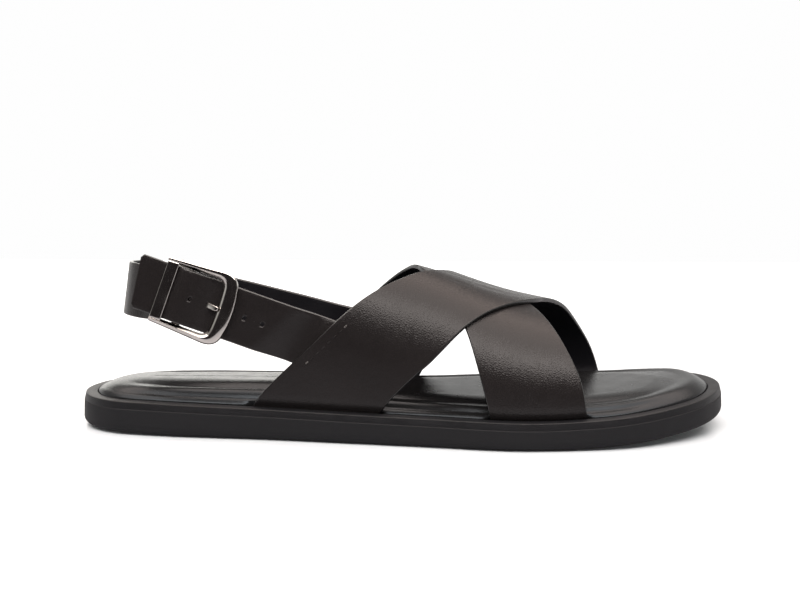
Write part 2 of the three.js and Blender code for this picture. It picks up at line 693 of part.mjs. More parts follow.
// The buckle's outline at an inset: from the middle of its keeper's end round the corners and the bowed nose.
function frameOutline(inset, tail, nose, tailHalf, noseHalf, corner, bow) {
  const a = tailHalf - inset;
  const b = noseHalf - inset;
  const tip = nose - inset;
  const path = new THREE.Path();
  path.moveTo(tail + inset, 0);
  path.lineTo(tail + inset, -a);
  path.lineTo(tip - bow - corner, -b);
  path.quadraticCurveTo(tip - bow, -b, tip - bow * 0.6, corner - b);
  path.quadraticCurveTo(tip + bow * 0.6, 0, tip - bow * 0.6, b - corner);
  path.quadraticCurveTo(tip - bow, b, tip - bow - corner, b);
  path.lineTo(tail + inset, a);
  return path.getPoints(8);
}

function frameSolid(cutter) {
  const inner = BAND_WIDTH / 2 + FRAME_SIDE_GAP;
  const outer = inner + RAIL_WIDTH;
  const clear = STRAP_LEATHER / 2 + LAYER_GAP;
  const low = (along) => mix(-0.5, clear, smooth(along, 3, 11));
  const high = (along) => clear + mix(1.5, FRAME_RISE, smooth(along, -4, 14));
  const raise = (points, height) => points.map((p) => vec(p.x, p.y, height(p.x)));
  const rim = (inset) =>
    frameOutline(inset, -FRAME_TAIL, FRAME_NOSE, outer, outer + RAIL_SPREAD, FRAME_CORNER, FRAME_BOW);
  const hole = (inset) =>
    frameOutline(inset, -2 * FRAME_TAIL, FRAME_NOSE - OUTER_BAR_WIDTH, inner, inner + 0.2, FRAME_CORNER / 2, 0.6);
  const body = loft([
    raise(rim(0.3), low),
    raise(rim(0), (along) => low(along) + 0.3),
    raise(rim(0), (along) => high(along) - 1),
    raise(rim(0.9), high),
  ]);
  const window = loft([
    raise(hole(0), (along) => low(along) - 3),
    raise(hole(0), (along) => low(along) + 0.5),
    raise(hole(-1.6), (along) => high(along) + 0.5),
  ]);
  const rails = raise(hole(0), () => -9);
  const clearance = loft([rails, raise(hole(0), () => clear + 0.5)]);
  const ring = solidFrom(body).subtract(solidFrom(window)).subtract(solidFrom(clearance));
  const block = (size, place) => solidFrom(new THREE.BoxGeometry(...size).translate(...place));
  const rod = (radius, from, to) =>
    solidFrom(new THREE.CylinderGeometry(radius, radius, to - from, 20).translate(0, (from + to) / 2, -BAR_SINK));
  const keeper = block(
    [KEEPER_WIDTH, 2 * inner + 1, KEEPER_THICKNESS],
    [KEEPER_WIDTH / 2 - FRAME_TAIL, 0, clear + 0.3 + KEEPER_THICKNESS / 2],
  );
  const lug = BAR_RADIUS + 1;
  const sides = [-1, 1].map((side) => {
    const from = side < 0 ? -outer : inner;
    const foot = rod(lug, from, from + RAIL_WIDTH);
    return foot.add(block([2 * lug, RAIL_WIDTH, BAR_SINK + 0.5], [0, from + RAIL_WIDTH / 2, -(BAR_SINK - 0.5) / 2]));
  });
  const bar = rod(BAR_RADIUS, -inner - 0.5, inner + 0.5);
  const whole = wasm.Manifold.union([ring, keeper, bar, ...sides]);
  return solidFrom(geometryOf(whole).applyMatrix4(buckleAxes.matrix)).subtract(cutter);
}

// The prong's middle line from the open end of its eye round the bar and through the hole to the outer bar.
function prongSolid(grow) {
  const eye = BAR_RADIUS + LAYER_GAP + PRONG_THICKNESS / 2;
  const points = [];
  for (let angle = 340; angle > 90; angle -= 25) {
    const turn = THREE.MathUtils.degToRad(angle);
    points.push([eye * Math.cos(turn), eye * Math.sin(turn) - BAR_SINK]);
  }
  for (const row of PRONG_SHANK) points.push([row.along * PRONG_REACH, row.out * PRONG_THICKNESS]);
  const count = points.length;
  const frames = points.map(([along, out], i) => {
    const before = points[Math.max(i - 1, 0)];
    const after = points[Math.min(i + 1, count - 1)];
    const way = inBuckle(...[after[0], 0, after[1]]).sub(inBuckle(before[0], 0, before[1])).normalize();
    const place = inBuckle(along, 0, out);
    if (i === 0) place.addScaledVector(way, -grow);
    if (i === count - 1) place.addScaledVector(way, grow);
    const thin = i === count - 1 ? 0.7 : 1;
    return { place, across: buckleAxes.across, out: way.clone().cross(buckleAxes.across), thin };
  });
  const w = PRONG_WIDTH / 2;
  const t = PRONG_THICKNESS / 2;
  const corner = 0.45;
  const quarter = [[w, corner - t], [w, t - corner], [w - corner, t], [corner - w, t]];
  const section = [...quarter, ...quarter.map(([x, y]) => [-x, -y])];
  const rings = frames.map((f) =>
    section.map(([x, y]) => {
      const a = x * f.thin + Math.sign(x) * grow;
      const b = y * f.thin + Math.sign(y) * grow;
      return f.place.clone().addScaledVector(f.across, a).addScaledVector(f.out, b);
    }),
  );
  return solidFrom(loft(rings));
}

function insoleCut() {
  const grown = (rows) => solidFrom(crossStrap(rows, LAYER_GAP));
  const pieces = solidFrom(insoleSolid()).subtract(grown(OVER_STRAP)).subtract(grown(UNDER_STRAP)).decompose();
  return pieces.reduce((best, piece) => (piece.volume() > best.volume() ? piece : best));
}

const upper = solidFrom(crossStrap(OVER_STRAP, 0)).add(solidFrom(crossStrap(UNDER_STRAP, 0)));
const prongRoom = prongSolid(LAYER_GAP);

const LEATHER_COLOUR = 0x2b2523;
const METAL_COLOUR = 0x8c8c8e;
const PARTS = [
  { name: "outsole", solid: outsoleSolid(), colour: 0x1c1c1d, roughness: 0.7, metalness: 0 },
  { name: "midsole", solid: midsoleSolid(), colour: 0x202021, roughness: 0.65, metalness: 0 },
  { name: "insole", solid: insoleCut(), colour: 0x1d1d1d, roughness: 0.5, metalness: 0 },
  { name: "upper", solid: upper, colour: LEATHER_COLOUR, roughness: 0.5, metalness: 0 },
  { name: "heel_strap", solid: heelStrapSolid(prongRoom), colour: LEATHER_COLOUR, roughness: 0.5, metalness: 0 },
  { name: "billet_strap", solid: billetSolid(prongRoom), colour: LEATHER_COLOUR, roughness: 0.5, metalness: 0 },
  { name: "buckle_frame", solid: frameSolid(prongRoom), colour: METAL_COLOUR, roughness: 0.2, metalness: 1 },
  { name: "buckle_prong", solid: prongSolid(0), colour: METAL_COLOUR, roughness: 0.2, metalness: 1 },
];

const group = new THREE.Group();
for (const { name, solid, colour, roughness, metalness } of PARTS) {
  const material = new THREE.MeshStandardMaterial({ color: colour, roughness, metalness });
  const mesh = new THREE.Mesh(geometryOf(solid), material);
  mesh.name = name;
  group.add(mesh);
}

export default group;
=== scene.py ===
import bmesh
import bpy
import numpy as np
from mathutils import Matrix


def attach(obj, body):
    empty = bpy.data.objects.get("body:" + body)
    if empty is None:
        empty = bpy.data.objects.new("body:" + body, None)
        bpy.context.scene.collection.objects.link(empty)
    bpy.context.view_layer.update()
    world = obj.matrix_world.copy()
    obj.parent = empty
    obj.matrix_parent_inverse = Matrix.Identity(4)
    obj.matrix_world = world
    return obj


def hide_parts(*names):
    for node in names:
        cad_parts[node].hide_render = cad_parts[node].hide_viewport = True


bl_info = {
    "name": "Cross-strap sandal",
    "version": (1, 0, 0),
    "blender": (4, 5, 0),
    "location": "View3D > Sidebar > Sandal",
    "description": "Builds a leather cross-strap sandal with a buckled heel strap over its CAD frame",
    "category": "Add Mesh",
}

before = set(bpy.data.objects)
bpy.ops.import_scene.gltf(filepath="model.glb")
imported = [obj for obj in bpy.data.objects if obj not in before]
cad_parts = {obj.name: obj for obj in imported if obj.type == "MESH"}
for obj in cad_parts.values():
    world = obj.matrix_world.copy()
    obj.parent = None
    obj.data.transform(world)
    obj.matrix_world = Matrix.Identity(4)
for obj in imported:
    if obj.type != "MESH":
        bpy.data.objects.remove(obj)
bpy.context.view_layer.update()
MM = 0.001


# Tables of the last, the same as the solids are made from
def table(columns, *rows):
    """Rows of numbers, read by column name."""
    return dict(zip(columns.split(), np.array(rows, float).T))


# Along the sole from the heel as a share of its length; each side as a share of half the ball width
OUTLINE = table(
    "along lateral medial",
    (0, -0.043, 0.043), (0.02, 0.305, 0.386), (0.06, 0.487, 0.587), (0.12, 0.577, 0.675),
    (0.2, 0.636, 0.703), (0.3, 0.69, 0.696), (0.42, 0.788, 0.698), (0.55, 0.902, 0.795),
    (0.66, 1, 0.933), (0.75, 0.973, 1), (0.84, 0.876, 0.969), (0.92, 0.644, 0.835),
    (0.97, 0.378, 0.661), (1, -0.15, 0.15),
)
# Height of the last's crest over the rim as a share of the instep's rise
CREST = table(
    "along rise",
    (0.2, 1.32), (0.36, 1.2), (0.5, 1.013), (0.53, 0.98), (0.56, 0.936), (0.65, 0.785), (0.73, 0.69),
    (0.85, 0.55),
)
# Cross straps from the lateral base at a turn of -1 over the crest to the medial base at 1. Lift is a share of
# OVER_LIFT, in millimetres, by which the over strap clears the under strap.
OVER_STRAP = table(
    "turn rear front lift",
    (-1, -0.2225, -0.0285, 0), (-0.875, -0.1695, 0.013, 0.1), (-0.75, -0.1245, 0.051, 0.3),
    (-0.5, -0.054, 0.104, 0.9), (-0.25, 0.013, 0.159, 1), (0, 0.069, 0.217, 1), (0.25, 0.106, 0.254, 1),
    (0.5, 0.131, 0.281, 0.6), (0.75, 0.155, 0.307, 0.1), (1, 0.169, 0.325, 0),
)
OVER_LIFT = 2.05
UNDER_STRAP = table(
    "turn rear front lift",
    (-1, 0.134, 0.275, 0), (-0.75, 0.115, 0.264, 0), (-0.5, 0.095, 0.242, 0),
    (-0.25, 0.062, 0.217, 0), (0, 0.0255, 0.188, 0), (0.25, 0.002, 0.155, 0),
    (0.5, -0.037, 0.121, 0), (0.75, -0.092, 0.078, 0), (1, -0.158, 0.021, 0),
)
# The footbed's rise over the rim, in from its edge in millimetres, as shares of its crown
PAD_SECTION = table(
    "inset sides heel toe",
    (0, 0, 0, 0), (0.4, 0.1, 0.1, 0.11), (1.8, 0.25, 0.3, 0.33), (3.4, 0.33, 0.44, 0.55),
    (5, 0.56, 0.58, 0.73), (6.5, 0.71, 0.69, 0.84), (8.5, 0.76, 0.78, 0.88), (10.5, 0.71, 0.84, 0.87),
    (12.5, 0.69, 0.89, 0.85),
    (14.5, 0.8, 0.93, 0.86), (17, 0.92, 0.96, 0.89), (20.5, 0.99, 0.98, 0.94), (24.5, 1, 1, 1),
    (40, 1.01, 1.01, 1.01),
)
# The crown's height over the rim along the sole, as a share of the pad's rise
PAD_CROWN = table(
    "along height",
    (0.05, 1.04), (0.15, 1.2), (0.24, 1.35), (0.32, 1.44), (0.42, 1.24), (0.52, 1.06), (0.6, 1.04),
    (0.76, 1.06), (0.86, 1),
)
# Folds of the footbed's leather: inset and half width in millimetres, rise as a share of the crown, and the
# shares of the sole's length between which they run
PAD_FOLDS = table(
    "inset width rise start end",
    (1.8, 0.6, 0.03, 0.06, 0.44), (3.1, 0.7, -0.04, 0.12, 0.44), (9, 1, 0.03, 0.14, 0.44),
    (11.3, 1, -0.03, 0.16, 0.4), (4.2, 0.6, -0.07, 0.78, 0.84), (5.4, 0.5, 0.05, 0.77, 0.84),
    (7.4, 0.6, -0.05, 0.78, 0.85),
)
# Soft troughs where the over strap flexes, in turns along it, shares across it and millimetres of depth
OVER_CREASES = table(
    "place lean width depth centre reach",
    (-0.02, 0.1, 0.02, 0.22, 0.3, 0.22), (0.05, 0.14, 0.016, 0.18, 0.42, 0.2),
    (-0.1, 0.06, 0.024, 0.16, 0.62, 0.2), (-0.17, -0.04, 0.018, 0.12, 0.35, 0.16),
)
# Heel strap's middle line as shares of sole length, half ball width and instep rise
HEEL_LOOP = table(
    "along across up",
    (-0.01, 0.5, 0.545), (-0.09, 0.53, 0.645), (-0.181, 0.56, 0.755), (-0.271, 0.56, 0.864),
    (-0.352, 0.48, 0.962), (-0.402, 0.3, 1.035), (-0.425, 0.05, 1.064), (-0.413, -0.2, 1.075),
    (-0.38, -0.365, 1.072),
)
# The billet's lift over the buckle's bar, and the prong past it, in millimetres
BILLET_LIFT = table(
    "along lift", (-8, 0), (-5.5, 0.1), (-3, 0.7), (0, 1), (3, 0.95), (8, 0.6), (12, 0.08), (14, 0),
)
PRONG_SHANK = table(
    "along out",
    (0, -0.75), (3.9, -0.97), (7.8, -1.12), (9.7, -0.6), (11, 0.35), (12.7, 1.75), (14.6, 3.1), (16.4, 3.95),
)
PRONG_EYE_TURNS = range(340, 100, -25)
FIRST_HOLE, HOLE_COUNT = -1, 5


def settings():
    return bpy.context.scene.sandal


def length_setting(name, about, default):
    return bpy.props.FloatProperty(name=name, description=about, default=default)


def colour_setting(name, about, default):
    return bpy.props.FloatVectorProperty(name=name, description=about, subtype="COLOR", size=3, default=default)


class SandalSettings(bpy.types.PropertyGroup):
    """Sizes and colours of the sandal. Lengths are in millimetres."""

    sole_length: length_setting("Sole length", "Heel to toe", 288.5)
    ball_width: length_setting("Ball width", "Widest part of the sole", 104.5)
    instep_rise: length_setting("Instep rise", "Rim to the inside of the straps", 57.5)
    toe_spring: length_setting("Toe spring", "Lift of the toe's underside", 6.6)
    rim_width: length_setting("Rim width", "Ledge round the footbed", 5.2)
    pad_rise: length_setting("Pad rise", "Footbed's middle over the rim", 5.2)
    leather: length_setting("Strap leather", "Cross strap thickness", 2)
    band_width: length_setting("Band width", "Heel strap and billet", 23.5)
    stitch: length_setting("Stitch length", "Pitch of the seams", 3)
    strap_colour: colour_setting("Strap colour", "Leather of the straps", (0.0152, 0.0134, 0.0136))
    footbed_colour: colour_setting("Footbed colour", "Leather of the footbed", (0.01, 0.01, 0.0105))
    sole_colour: colour_setting("Sole colour", "Rubber of the sole", (0.012, 0.0125, 0.0145))
    metal_colour: colour_setting("Buckle colour", "Plating of the buckle", (0.6, 0.575, 0.545))


# Curves and small maths
def smoothstep(x, low, high):
    t = np.clip((np.asarray(x, float) - low) / (high - low), 0, 1)
    return t * t * (3 - 2 * t)


def mix(a, b, t):
    return a + (b - a) * t


def unit(vectors):
    return vectors / np.maximum(np.linalg.norm(vectors, axis=-1, keepdims=True), 1e-9)


def curve_of(rows, at, key):
    """A smooth function through two columns of a table, flat outside its ends."""
    xs, ys = rows[at], rows[key]
    before = np.concatenate(([0], np.arange(len(xs) - 1)))
    after = np.concatenate((np.arange(1, len(xs)), [len(xs) - 1]))
    slope = (ys[after] - ys[before]) / (xs[after] - xs[before])

    def curve(x):
        x = np.clip(np.asarray(x, float), xs[0], xs[-1])
        i = np.clip(np.searchsorted(xs, x, side="right") - 1, 0, len(xs) - 2)
        span = xs[i + 1] - xs[i]
        t = (x - xs[i]) / span
        near = ys[i] * (1 + 2 * t) * (1 - t) ** 2 + slope[i] * span * t * (1 - t) ** 2
        far = ys[i + 1] * (3 - 2 * t) * t * t - slope[i + 1] * span * t * t * (1 - t)
        return near + far

    return curve


def spline(points, count):
    """A smooth line through points, with count evenly spaced places on it."""
    points = np.asarray(points, float)
    padded = np.vstack((2 * points[0] - points[1], points, 2 * points[-1] - points[-2]))
    fine = []
    for i in range(1, len(padded) - 2):
        p0, p1, p2, p3 = padded[i - 1 : i + 3]
        gaps = [max(np.linalg.norm(b - a), 1e-6) ** 0.5 for a, b in ((p0, p1), (p1, p2), (p2, p3))]
        knots = np.cumsum([0] + gaps)
        m1 = (p2 - p0) / (knots[2] - knots[0]) * (knots[2] - knots[1])
        m2 = (p3 - p1) / (knots[3] - knots[1]) * (knots[2] - knots[1])
        t = np.linspace(0, 1, 40, endpoint=False)[:, None]
        near = p1 * (2 * t**3 - 3 * t**2 + 1) + m1 * (t**3 - 2 * t**2 + t)
        fine.append(near + p2 * (3 * t**2 - 2 * t**3) + m2 * (t**3 - t**2))
    line = np.vstack(fine + [points[-1:]])
    reach = np.concatenate(([0], np.cumsum(np.linalg.norm(np.diff(line, axis=0), axis=1))))
    even = np.linspace(0, reach[-1], count)
    return np.stack([np.interp(even, reach, line[:, k]) for k in range(3)], axis=1), reach[-1]


# The sole and the last, with the shares of the length where toe and heel begin to lift
TOE_LIFT_FROM, RIM_LIFT_FROM, TOE_POWER = 0.72, 0.7, 1.8
HEEL_LIFT_TO, HEEL_POWER, HEEL_SPRING = 0.2, 1.5, 1
SIDE_STEP, RIM_DRAFT, LEG_GAP = 0.45, 0.6, 0.3
TUCK_HEIGHT, TUCK_DEPTH = 6, 2


class Last:
    """The form that the sandal is built on, worked out from the settings."""

    def __init__(self):
        s = settings()
        self.length, self.half = s.sole_length, s.ball_width / 2
        self.instep, self.spring = s.instep_rise, s.toe_spring
        turns = dict(OUTLINE, turn=np.arccos(1 - 2 * OUTLINE["along"]) / np.pi)
        self.sides = {-1: curve_of(turns, "turn", "lateral"), 1: curve_of(turns, "turn", "medial")}
        self.crest = curve_of(CREST, "along", "rise")
        heights = table("along height", (0.12, 14.35), (0.42, 12.6), (0.68, 11.8))
        self.base = curve_of(heights, "along", "height")
        self.crest_side = 0.09 * self.half
        self.power = 2.3
        self.seat = SIDE_STEP + RIM_DRAFT + s.rim_width
        self.leather = s.leather
        self.leg = self.seat + LEG_GAP + s.leather

    def share(self, x):
        return np.asarray(x) / self.length + 0.5

    def toe_lift(self, x, start):
        return self.spring * np.maximum((self.share(x) - start) / (1 - start), 0) ** TOE_POWER

    def under(self, x):
        heel = HEEL_SPRING * np.maximum((HEEL_LIFT_TO - self.share(x)) / HEEL_LIFT_TO, 0) ** HEEL_POWER
        return self.toe_lift(x, TOE_LIFT_FROM) + heel

    def rim(self, x):
        return self.base(self.share(x)) + self.toe_lift(x, RIM_LIFT_FROM)

    def edge(self, x, side):
        turn = np.arccos(np.clip(1 - 2 * self.share(x), -1, 1)) / np.pi
        return side * self.sides[side](turn) * self.half

    def beside(self, x, side, inset):
        slope = (self.edge(x + 1, side) - self.edge(x - 1, side)) / 2
        return self.edge(x, side) - side * inset * np.hypot(1, slope)

    def outline(self, steps):
        """Places round the sole from the heel by the lateral side, and the inward direction at each."""
        turn = np.linspace(0, 1, steps + 1)
        x = -np.cos(np.pi * turn) * self.length / 2
        lateral = np.stack((x, -self.sides[-1](turn) * self.half), axis=1)
        medial = np.stack((x, self.sides[1](turn) * self.half), axis=1)[-2:0:-1]
        ring = np.vstack((lateral, medial))
        along = unit(np.roll(ring, -1, axis=0) - np.roll(ring, 1, axis=0))
        return ring, np.stack((-along[:, 1], along[:, 0]), axis=1)

    def ring(self, steps, inset, height):
        places, inward = self.outline(steps)
        flat = places + inward * inset
        return np.column_stack((flat, height(flat[:, 0])))

    def point(self, x, turn):
        """The inside of a strap across the sole at x, from the lateral base at -1 to the medial at 1."""
        side = np.where(turn < 0, -1, 1)
        angle = (1 - np.abs(turn)) * np.pi / 2
        z = self.crest(self.share(x)) * self.instep * np.maximum(np.sin(angle), 0) ** (2 / self.power)
        inset = self.leg - self.leather
        wide = np.where(side < 0, self.beside(x, -1, inset), self.beside(x, 1, inset))
        tuck = TUCK_DEPTH * np.maximum(1 - z / TUCK_HEIGHT, 0) ** 2
        bend = np.maximum(np.cos(angle), 0) ** (2 / self.power)
        y = self.crest_side + (wide - self.crest_side) * bend - side * tuck
        return np.stack((x + 0 * y, y, self.rim(x) + z), axis=-1)

    def normal(self, x, turn):
        step = self.point(x, np.minimum(turn + 0.01, 1)) - self.point(x, np.maximum(turn - 0.01, -1))
        out = np.stack((0 * step[..., 0], -step[..., 2], step[..., 1]), axis=-1)
        return unit(out)

    def side_at(self, x, z, side):
        wide = self.beside(x, side, self.leg - self.leather)
        rise = np.clip((z - self.rim(x)) / (self.crest(self.share(x)) * self.instep), 0, 0.98)
        return self.crest_side + (wide - self.crest_side) * (1 - rise**self.power) ** (1 / self.power)


class Buckle:
    """The buckle's own axes: along the strap from the bar to the outer bar, across it, and out of it."""

    pitch, turn, lean = np.radians((18.8, 3, 9))
    place_shares = np.array((-0.3227, -0.52, 1.059))
    bar_radius, bar_sink, bulge, rail_gap = 1.1, 2.9, 1.5, 0.4
    tail, nose, outer_bar = 10.9, 22.8, 7.3
    reach, hole_pitch = 11.5, 8.2

    def __init__(self):
        s = settings()
        along = np.array((np.cos(self.pitch) * np.cos(self.turn), -np.cos(self.pitch) * np.sin(self.turn), 0))
        along[2] = -np.sin(self.pitch)
        level = unit(np.cross(along, (0, 0, 1)))
        across = np.cross(level, along) * np.cos(self.lean) - level * np.sin(self.lean)
        self.axes = np.array((along, across, np.cross(along, across)))
        self.place = self.place_shares * (s.sole_length, s.ball_width / 2, s.instep_rise)
        self.inner = s.band_width / 2 + self.rail_gap

    def at(self, along, across, out):
        local = np.stack(np.broadcast_arrays(*(np.asarray(v, float) for v in (along, across, out))), axis=-1)
        return self.place + local @ self.axes


# Meshes
def object_from(name, vertices, faces, zones=None, smooth=True):
    """A mesh object from places in millimetres, with its doubles merged and its faces turned outwards."""
    mesh = bpy.data.meshes.new(name)
    mesh.from_pydata((np.asarray(vertices) * MM).tolist(), [], faces)
    if zones is not None:
        mesh.polygons.foreach_set("material_index", zones)
    work = bmesh.new()
    work.from_mesh(mesh)
    bmesh.ops.remove_doubles(work, verts=work.verts, dist=1e-6)
    bmesh.ops.recalc_face_normals(work, faces=work.faces)
    work.to_mesh(mesh)
    work.free()
    mesh.polygons.foreach_set("use_smooth", [smooth] * len(mesh.polygons))
    piece = bpy.data.objects.new(name, mesh)
    bpy.context.collection.objects.link(piece)
    return piece


def loft(name, *stacks, zones=(0,), smooth=True):
    """One object from stacks of closed rings, with each end closed by pairing its ring's two halves."""
    vertices, faces, kinds = [], [], []
    for rings in map(np.asarray, stacks):
        start, count = len(vertices), rings.shape[1]
        last = start + (len(rings) - 1) * count
        for low in range(start, last, count):
            for i in range(count):
                j = (i + 1) % count
                faces.append((low + i, low + j, low + count + j, low + count + i))
                kinds.append(zones[i % len(zones)])
        for low in (start, last):
            for i in range(count // 2 - 1):
                faces.append((low + i, low + i + 1, low + count - 2 - i, low + count - 1 - i))
                kinds.append(zones[0])
        vertices.extend(rings.reshape(-1, 3))
    return object_from(name, vertices, faces, kinds, smooth)


OUTER_FACE, EDGE, INNER_FACE = 0, 1, 2


def band_rings(grid, thickness, radius):
    """Closed sections of leather from its middle surface, with rounded edges. Rows run along the band."""
    across = np.gradient(grid, axis=1)
    along = np.gradient(grid, axis=0)
    out = unit(np.cross(across, along))
    half = np.broadcast_to(np.asarray(thickness, float), grid.shape[0])[:, None] / 2
    columns = grid.shape[1] - 1

    def at(column, inset, height):
        toward = unit(grid[:, 1] - grid[:, 0]) if column == 0 else unit(grid[:, -2] - grid[:, -1])
        return grid[:, column] + toward * inset + out[:, column] * height

    def corner(column, sign, rising):
        steps = ((0, half - radius), (0.3 * radius, half - 0.3 * radius), (radius, half))
        points = [at(column, inset, sign * height) for inset, height in steps]
        return points if rising else points[::-1]

    face = lambda sign: [grid[:, c] + out[:, c] * sign * half for c in range(1, columns)]
    ring = corner(0, 1, True) + face(1) + corner(-1, 1, False)
    ring += corner(-1, -1, True) + face(-1)[::-1] + corner(0, -1, False)
    zones = [EDGE] * 2 + [OUTER_FACE] * columns + [EDGE] * 5 + [INNER_FACE] * columns + [EDGE] * 3
    return np.stack(ring, axis=1), zones


def leather_band(name, grid, thickness, radius=0.45):
    rings, zones = band_rings(grid, thickness, radius)
    return loft(name, rings, zones=zones)


def finish_piece(piece, materials, node):
    """Gives a piece its materials and its place in the frame."""
    for material in materials:
        piece.data.materials.append(material)
    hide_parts(node)
    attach(piece, "root")


def baked(piece):
    """The piece as a plain mesh with its modifiers applied and none left."""
    graph = bpy.context.evaluated_depsgraph_get()
    mesh = bpy.data.meshes.new_from_object(piece.evaluated_get(graph))
    piece.modifiers.clear()
    piece.data = mesh
    return piece


def apply_boolean(piece, other, operation):
    modifier = piece.modifiers.new("Cut", "BOOLEAN")
    modifier.object = other
    modifier.operation = operation
    modifier.solver = "EXACT"
    baked(piece)


def cut(piece, cutter):
    """Takes a cutter's shape away from a piece, and then removes the cutter."""
    apply_boolean(piece, cutter, "DIFFERENCE")
    bpy.data.objects.remove(cutter)


def shade_by_angle(piece, degrees):
    """Smooth faces, with edges sharper than an angle left crisp."""
    piece.data.shade_smooth()
    piece.data.set_sharp_from_angle(angle=np.radians(degrees))


# Node trees
NUMBER = "NodeSocketFloat"
GEOMETRY = {"Geometry": "NodeSocketGeometry"}


def new_group(name, kind, inputs, outputs):
    """A node group with sockets of {label: type}, what comes in, and the node that takes what goes out."""
    group = bpy.data.node_groups.new(name, kind)
    for direction, sockets in (("INPUT", inputs), ("OUTPUT", outputs)):
        for label, socket_type in sockets.items():
            group.interface.new_socket(label, in_out=direction, socket_type=socket_type)
    return group, group.nodes.new("NodeGroupInput").outputs, group.nodes.new("NodeGroupOutput")


def feed(tree, node, inputs):
    """Gives each named input of a node its value, or a link from another node's output."""
    for key, value in inputs.items():
        if isinstance(value, bpy.types.NodeSocket):
            tree.links.new(value, node.inputs[key])
        else:
            node.inputs[key].default_value = value


def add_node(tree, kind, inputs=None, **properties):
    """The outputs of a new node, whose properties are set first and then its inputs."""
    node = tree.nodes.new(kind)
    for key, value in properties.items():
        setattr(node, key, value)
    feed(tree, node, inputs or {})
    return node.outputs


def maths(tree, operation, *values):
    return add_node(tree, "ShaderNodeMath", dict(enumerate(values)), operation=operation)["Value"]


def map_range(tree, value, source=(0, 1), target=(0, 1), **properties):
    inputs = dict(zip(("From Min", "From Max", "To Min", "To Max"), (*source, *target)), Value=value)
    return add_node(tree, "ShaderNodeMapRange", inputs, **properties)["Result"]


def blend(tree, factor, first, second):
    """One colour or output turned into another by a factor."""
    inputs = {"Factor": factor, "A": first, "B": second}
    return add_node(tree, "ShaderNodeMix", inputs, data_type="RGBA")["Result"]


def opaque(colour, share=1):
    return (*(share * c for c in colour), 1)


# Geometry nodes
def add_tree(piece, tree, values):
    """Runs a geometry tree on a piece with values for its named inputs, and bakes the result."""
    modifier = piece.modifiers.new(tree.name, "NODES")
    modifier.node_group = tree
    for item in tree.interface.items_tree:
        if item.item_type == "SOCKET" and item.in_out == "INPUT" and item.name in values:
            modifier[item.identifier] = values[item.name]
    return baked(piece)


def seam_tree():
    """Stitches along a line that carries the surface's direction in the attribute 'out'."""
    if "Seam" in bpy.data.node_groups:
        return bpy.data.node_groups["Seam"]
    inputs = {"Pitch": NUMBER, "Length": NUMBER, "Thread": NUMBER, "Material": "NodeSocketMaterial"}
    tree, source, result = new_group("Seam", "GeometryNodeTree", {**GEOMETRY, **inputs}, GEOMETRY)
    line = add_node(tree, "GeometryNodeMeshToCurve", {"Mesh": source["Geometry"]})["Curve"]
    steps = {"Curve": line, "Length": source["Pitch"]}
    spaced = add_node(tree, "GeometryNodeResampleCurve", steps, mode="LENGTH")["Curve"]
    tangent = add_node(tree, "GeometryNodeInputTangent")["Tangent"]
    out = add_node(tree, "GeometryNodeInputNamedAttribute", {"Name": "out"}, data_type="FLOAT_VECTOR")
    ways = {"Primary Axis": tangent, "Secondary Axis": out["Attribute"]}
    turn = add_node(tree, "FunctionNodeAxesToRotation", ways, primary_axis="X", secondary_axis="Z")["Rotation"]
    stitch = add_node(tree, "GeometryNodeMeshUVSphere", {"Segments": 8, "Rings": 6, "Radius": 0.5})["Mesh"]
    sides = {"X": source["Length"], "Y": source["Thread"], "Z": source["Thread"]}
    size = add_node(tree, "ShaderNodeCombineXYZ", sides)["Vector"]
    copies = {"Points": spaced, "Instance": stitch, "Rotation": turn, "Scale": size}
    row = add_node(tree, "GeometryNodeInstanceOnPoints", copies)["Instances"]
    real = add_node(tree, "GeometryNodeRealizeInstances", {"Geometry": row})["Geometry"]
    painted = add_node(tree, "GeometryNodeSetMaterial", {"Geometry": real, "Material": source["Material"]})
    feed(tree, result, {"Geometry": painted["Geometry"]})
    return tree


def row_tree():
    """Copies of the mesh it is given, in a straight row, to punch or cut with."""
    if "Row" in bpy.data.node_groups:
        return bpy.data.node_groups["Row"]
    inputs = {"Count": "NodeSocketInt", "Step": "NodeSocketVector"}
    tree, source, result = new_group("Row", "GeometryNodeTree", {**GEOMETRY, **inputs}, GEOMETRY)
    steps = {"Count": source["Count"], "Offset": source["Step"]}
    line = add_node(tree, "GeometryNodeMeshLine", steps, mode="OFFSET")["Mesh"]
    copies = {"Points": line, "Instance": source["Geometry"]}
    row = add_node(tree, "GeometryNodeInstanceOnPoints", copies)["Instances"]
    real = add_node(tree, "GeometryNodeRealizeInstances", {"Geometry": row})
    feed(tree, result, {"Geometry": real["Geometry"]})
    return tree


def seam(name, places, out, material, pitch, length=2.2, thread=0.5):
    """A row of stitches along places on a surface, each half sunk in it."""
    mesh = bpy.data.meshes.new(name)
    mesh.from_pydata((np.asarray(places) * MM).tolist(), [(i, i + 1) for i in range(len(places) - 1)], [])
    mesh.attributes.new("out", "FLOAT_VECTOR", "POINT").data.foreach_set("vector", np.asarray(out).ravel())
    piece = bpy.data.objects.new(name, mesh)
    bpy.context.collection.objects.link(piece)
    values = {"Pitch": pitch * MM, "Length": length * MM, "Thread": thread * MM, "Material": material}
    add_tree(piece, seam_tree(), values)
    piece.data.polygons.foreach_set("use_smooth", [True] * len(piece.data.polygons))
    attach(piece, "root")


# Materials
ROUGHNESS_SWING = 0.07


def new_material(name):
    """A new material, its node tree and its shader."""
    material = bpy.data.materials.new(name)
    material.use_nodes = True
    return material, material.node_tree, material.node_tree.nodes["Principled BSDF"]


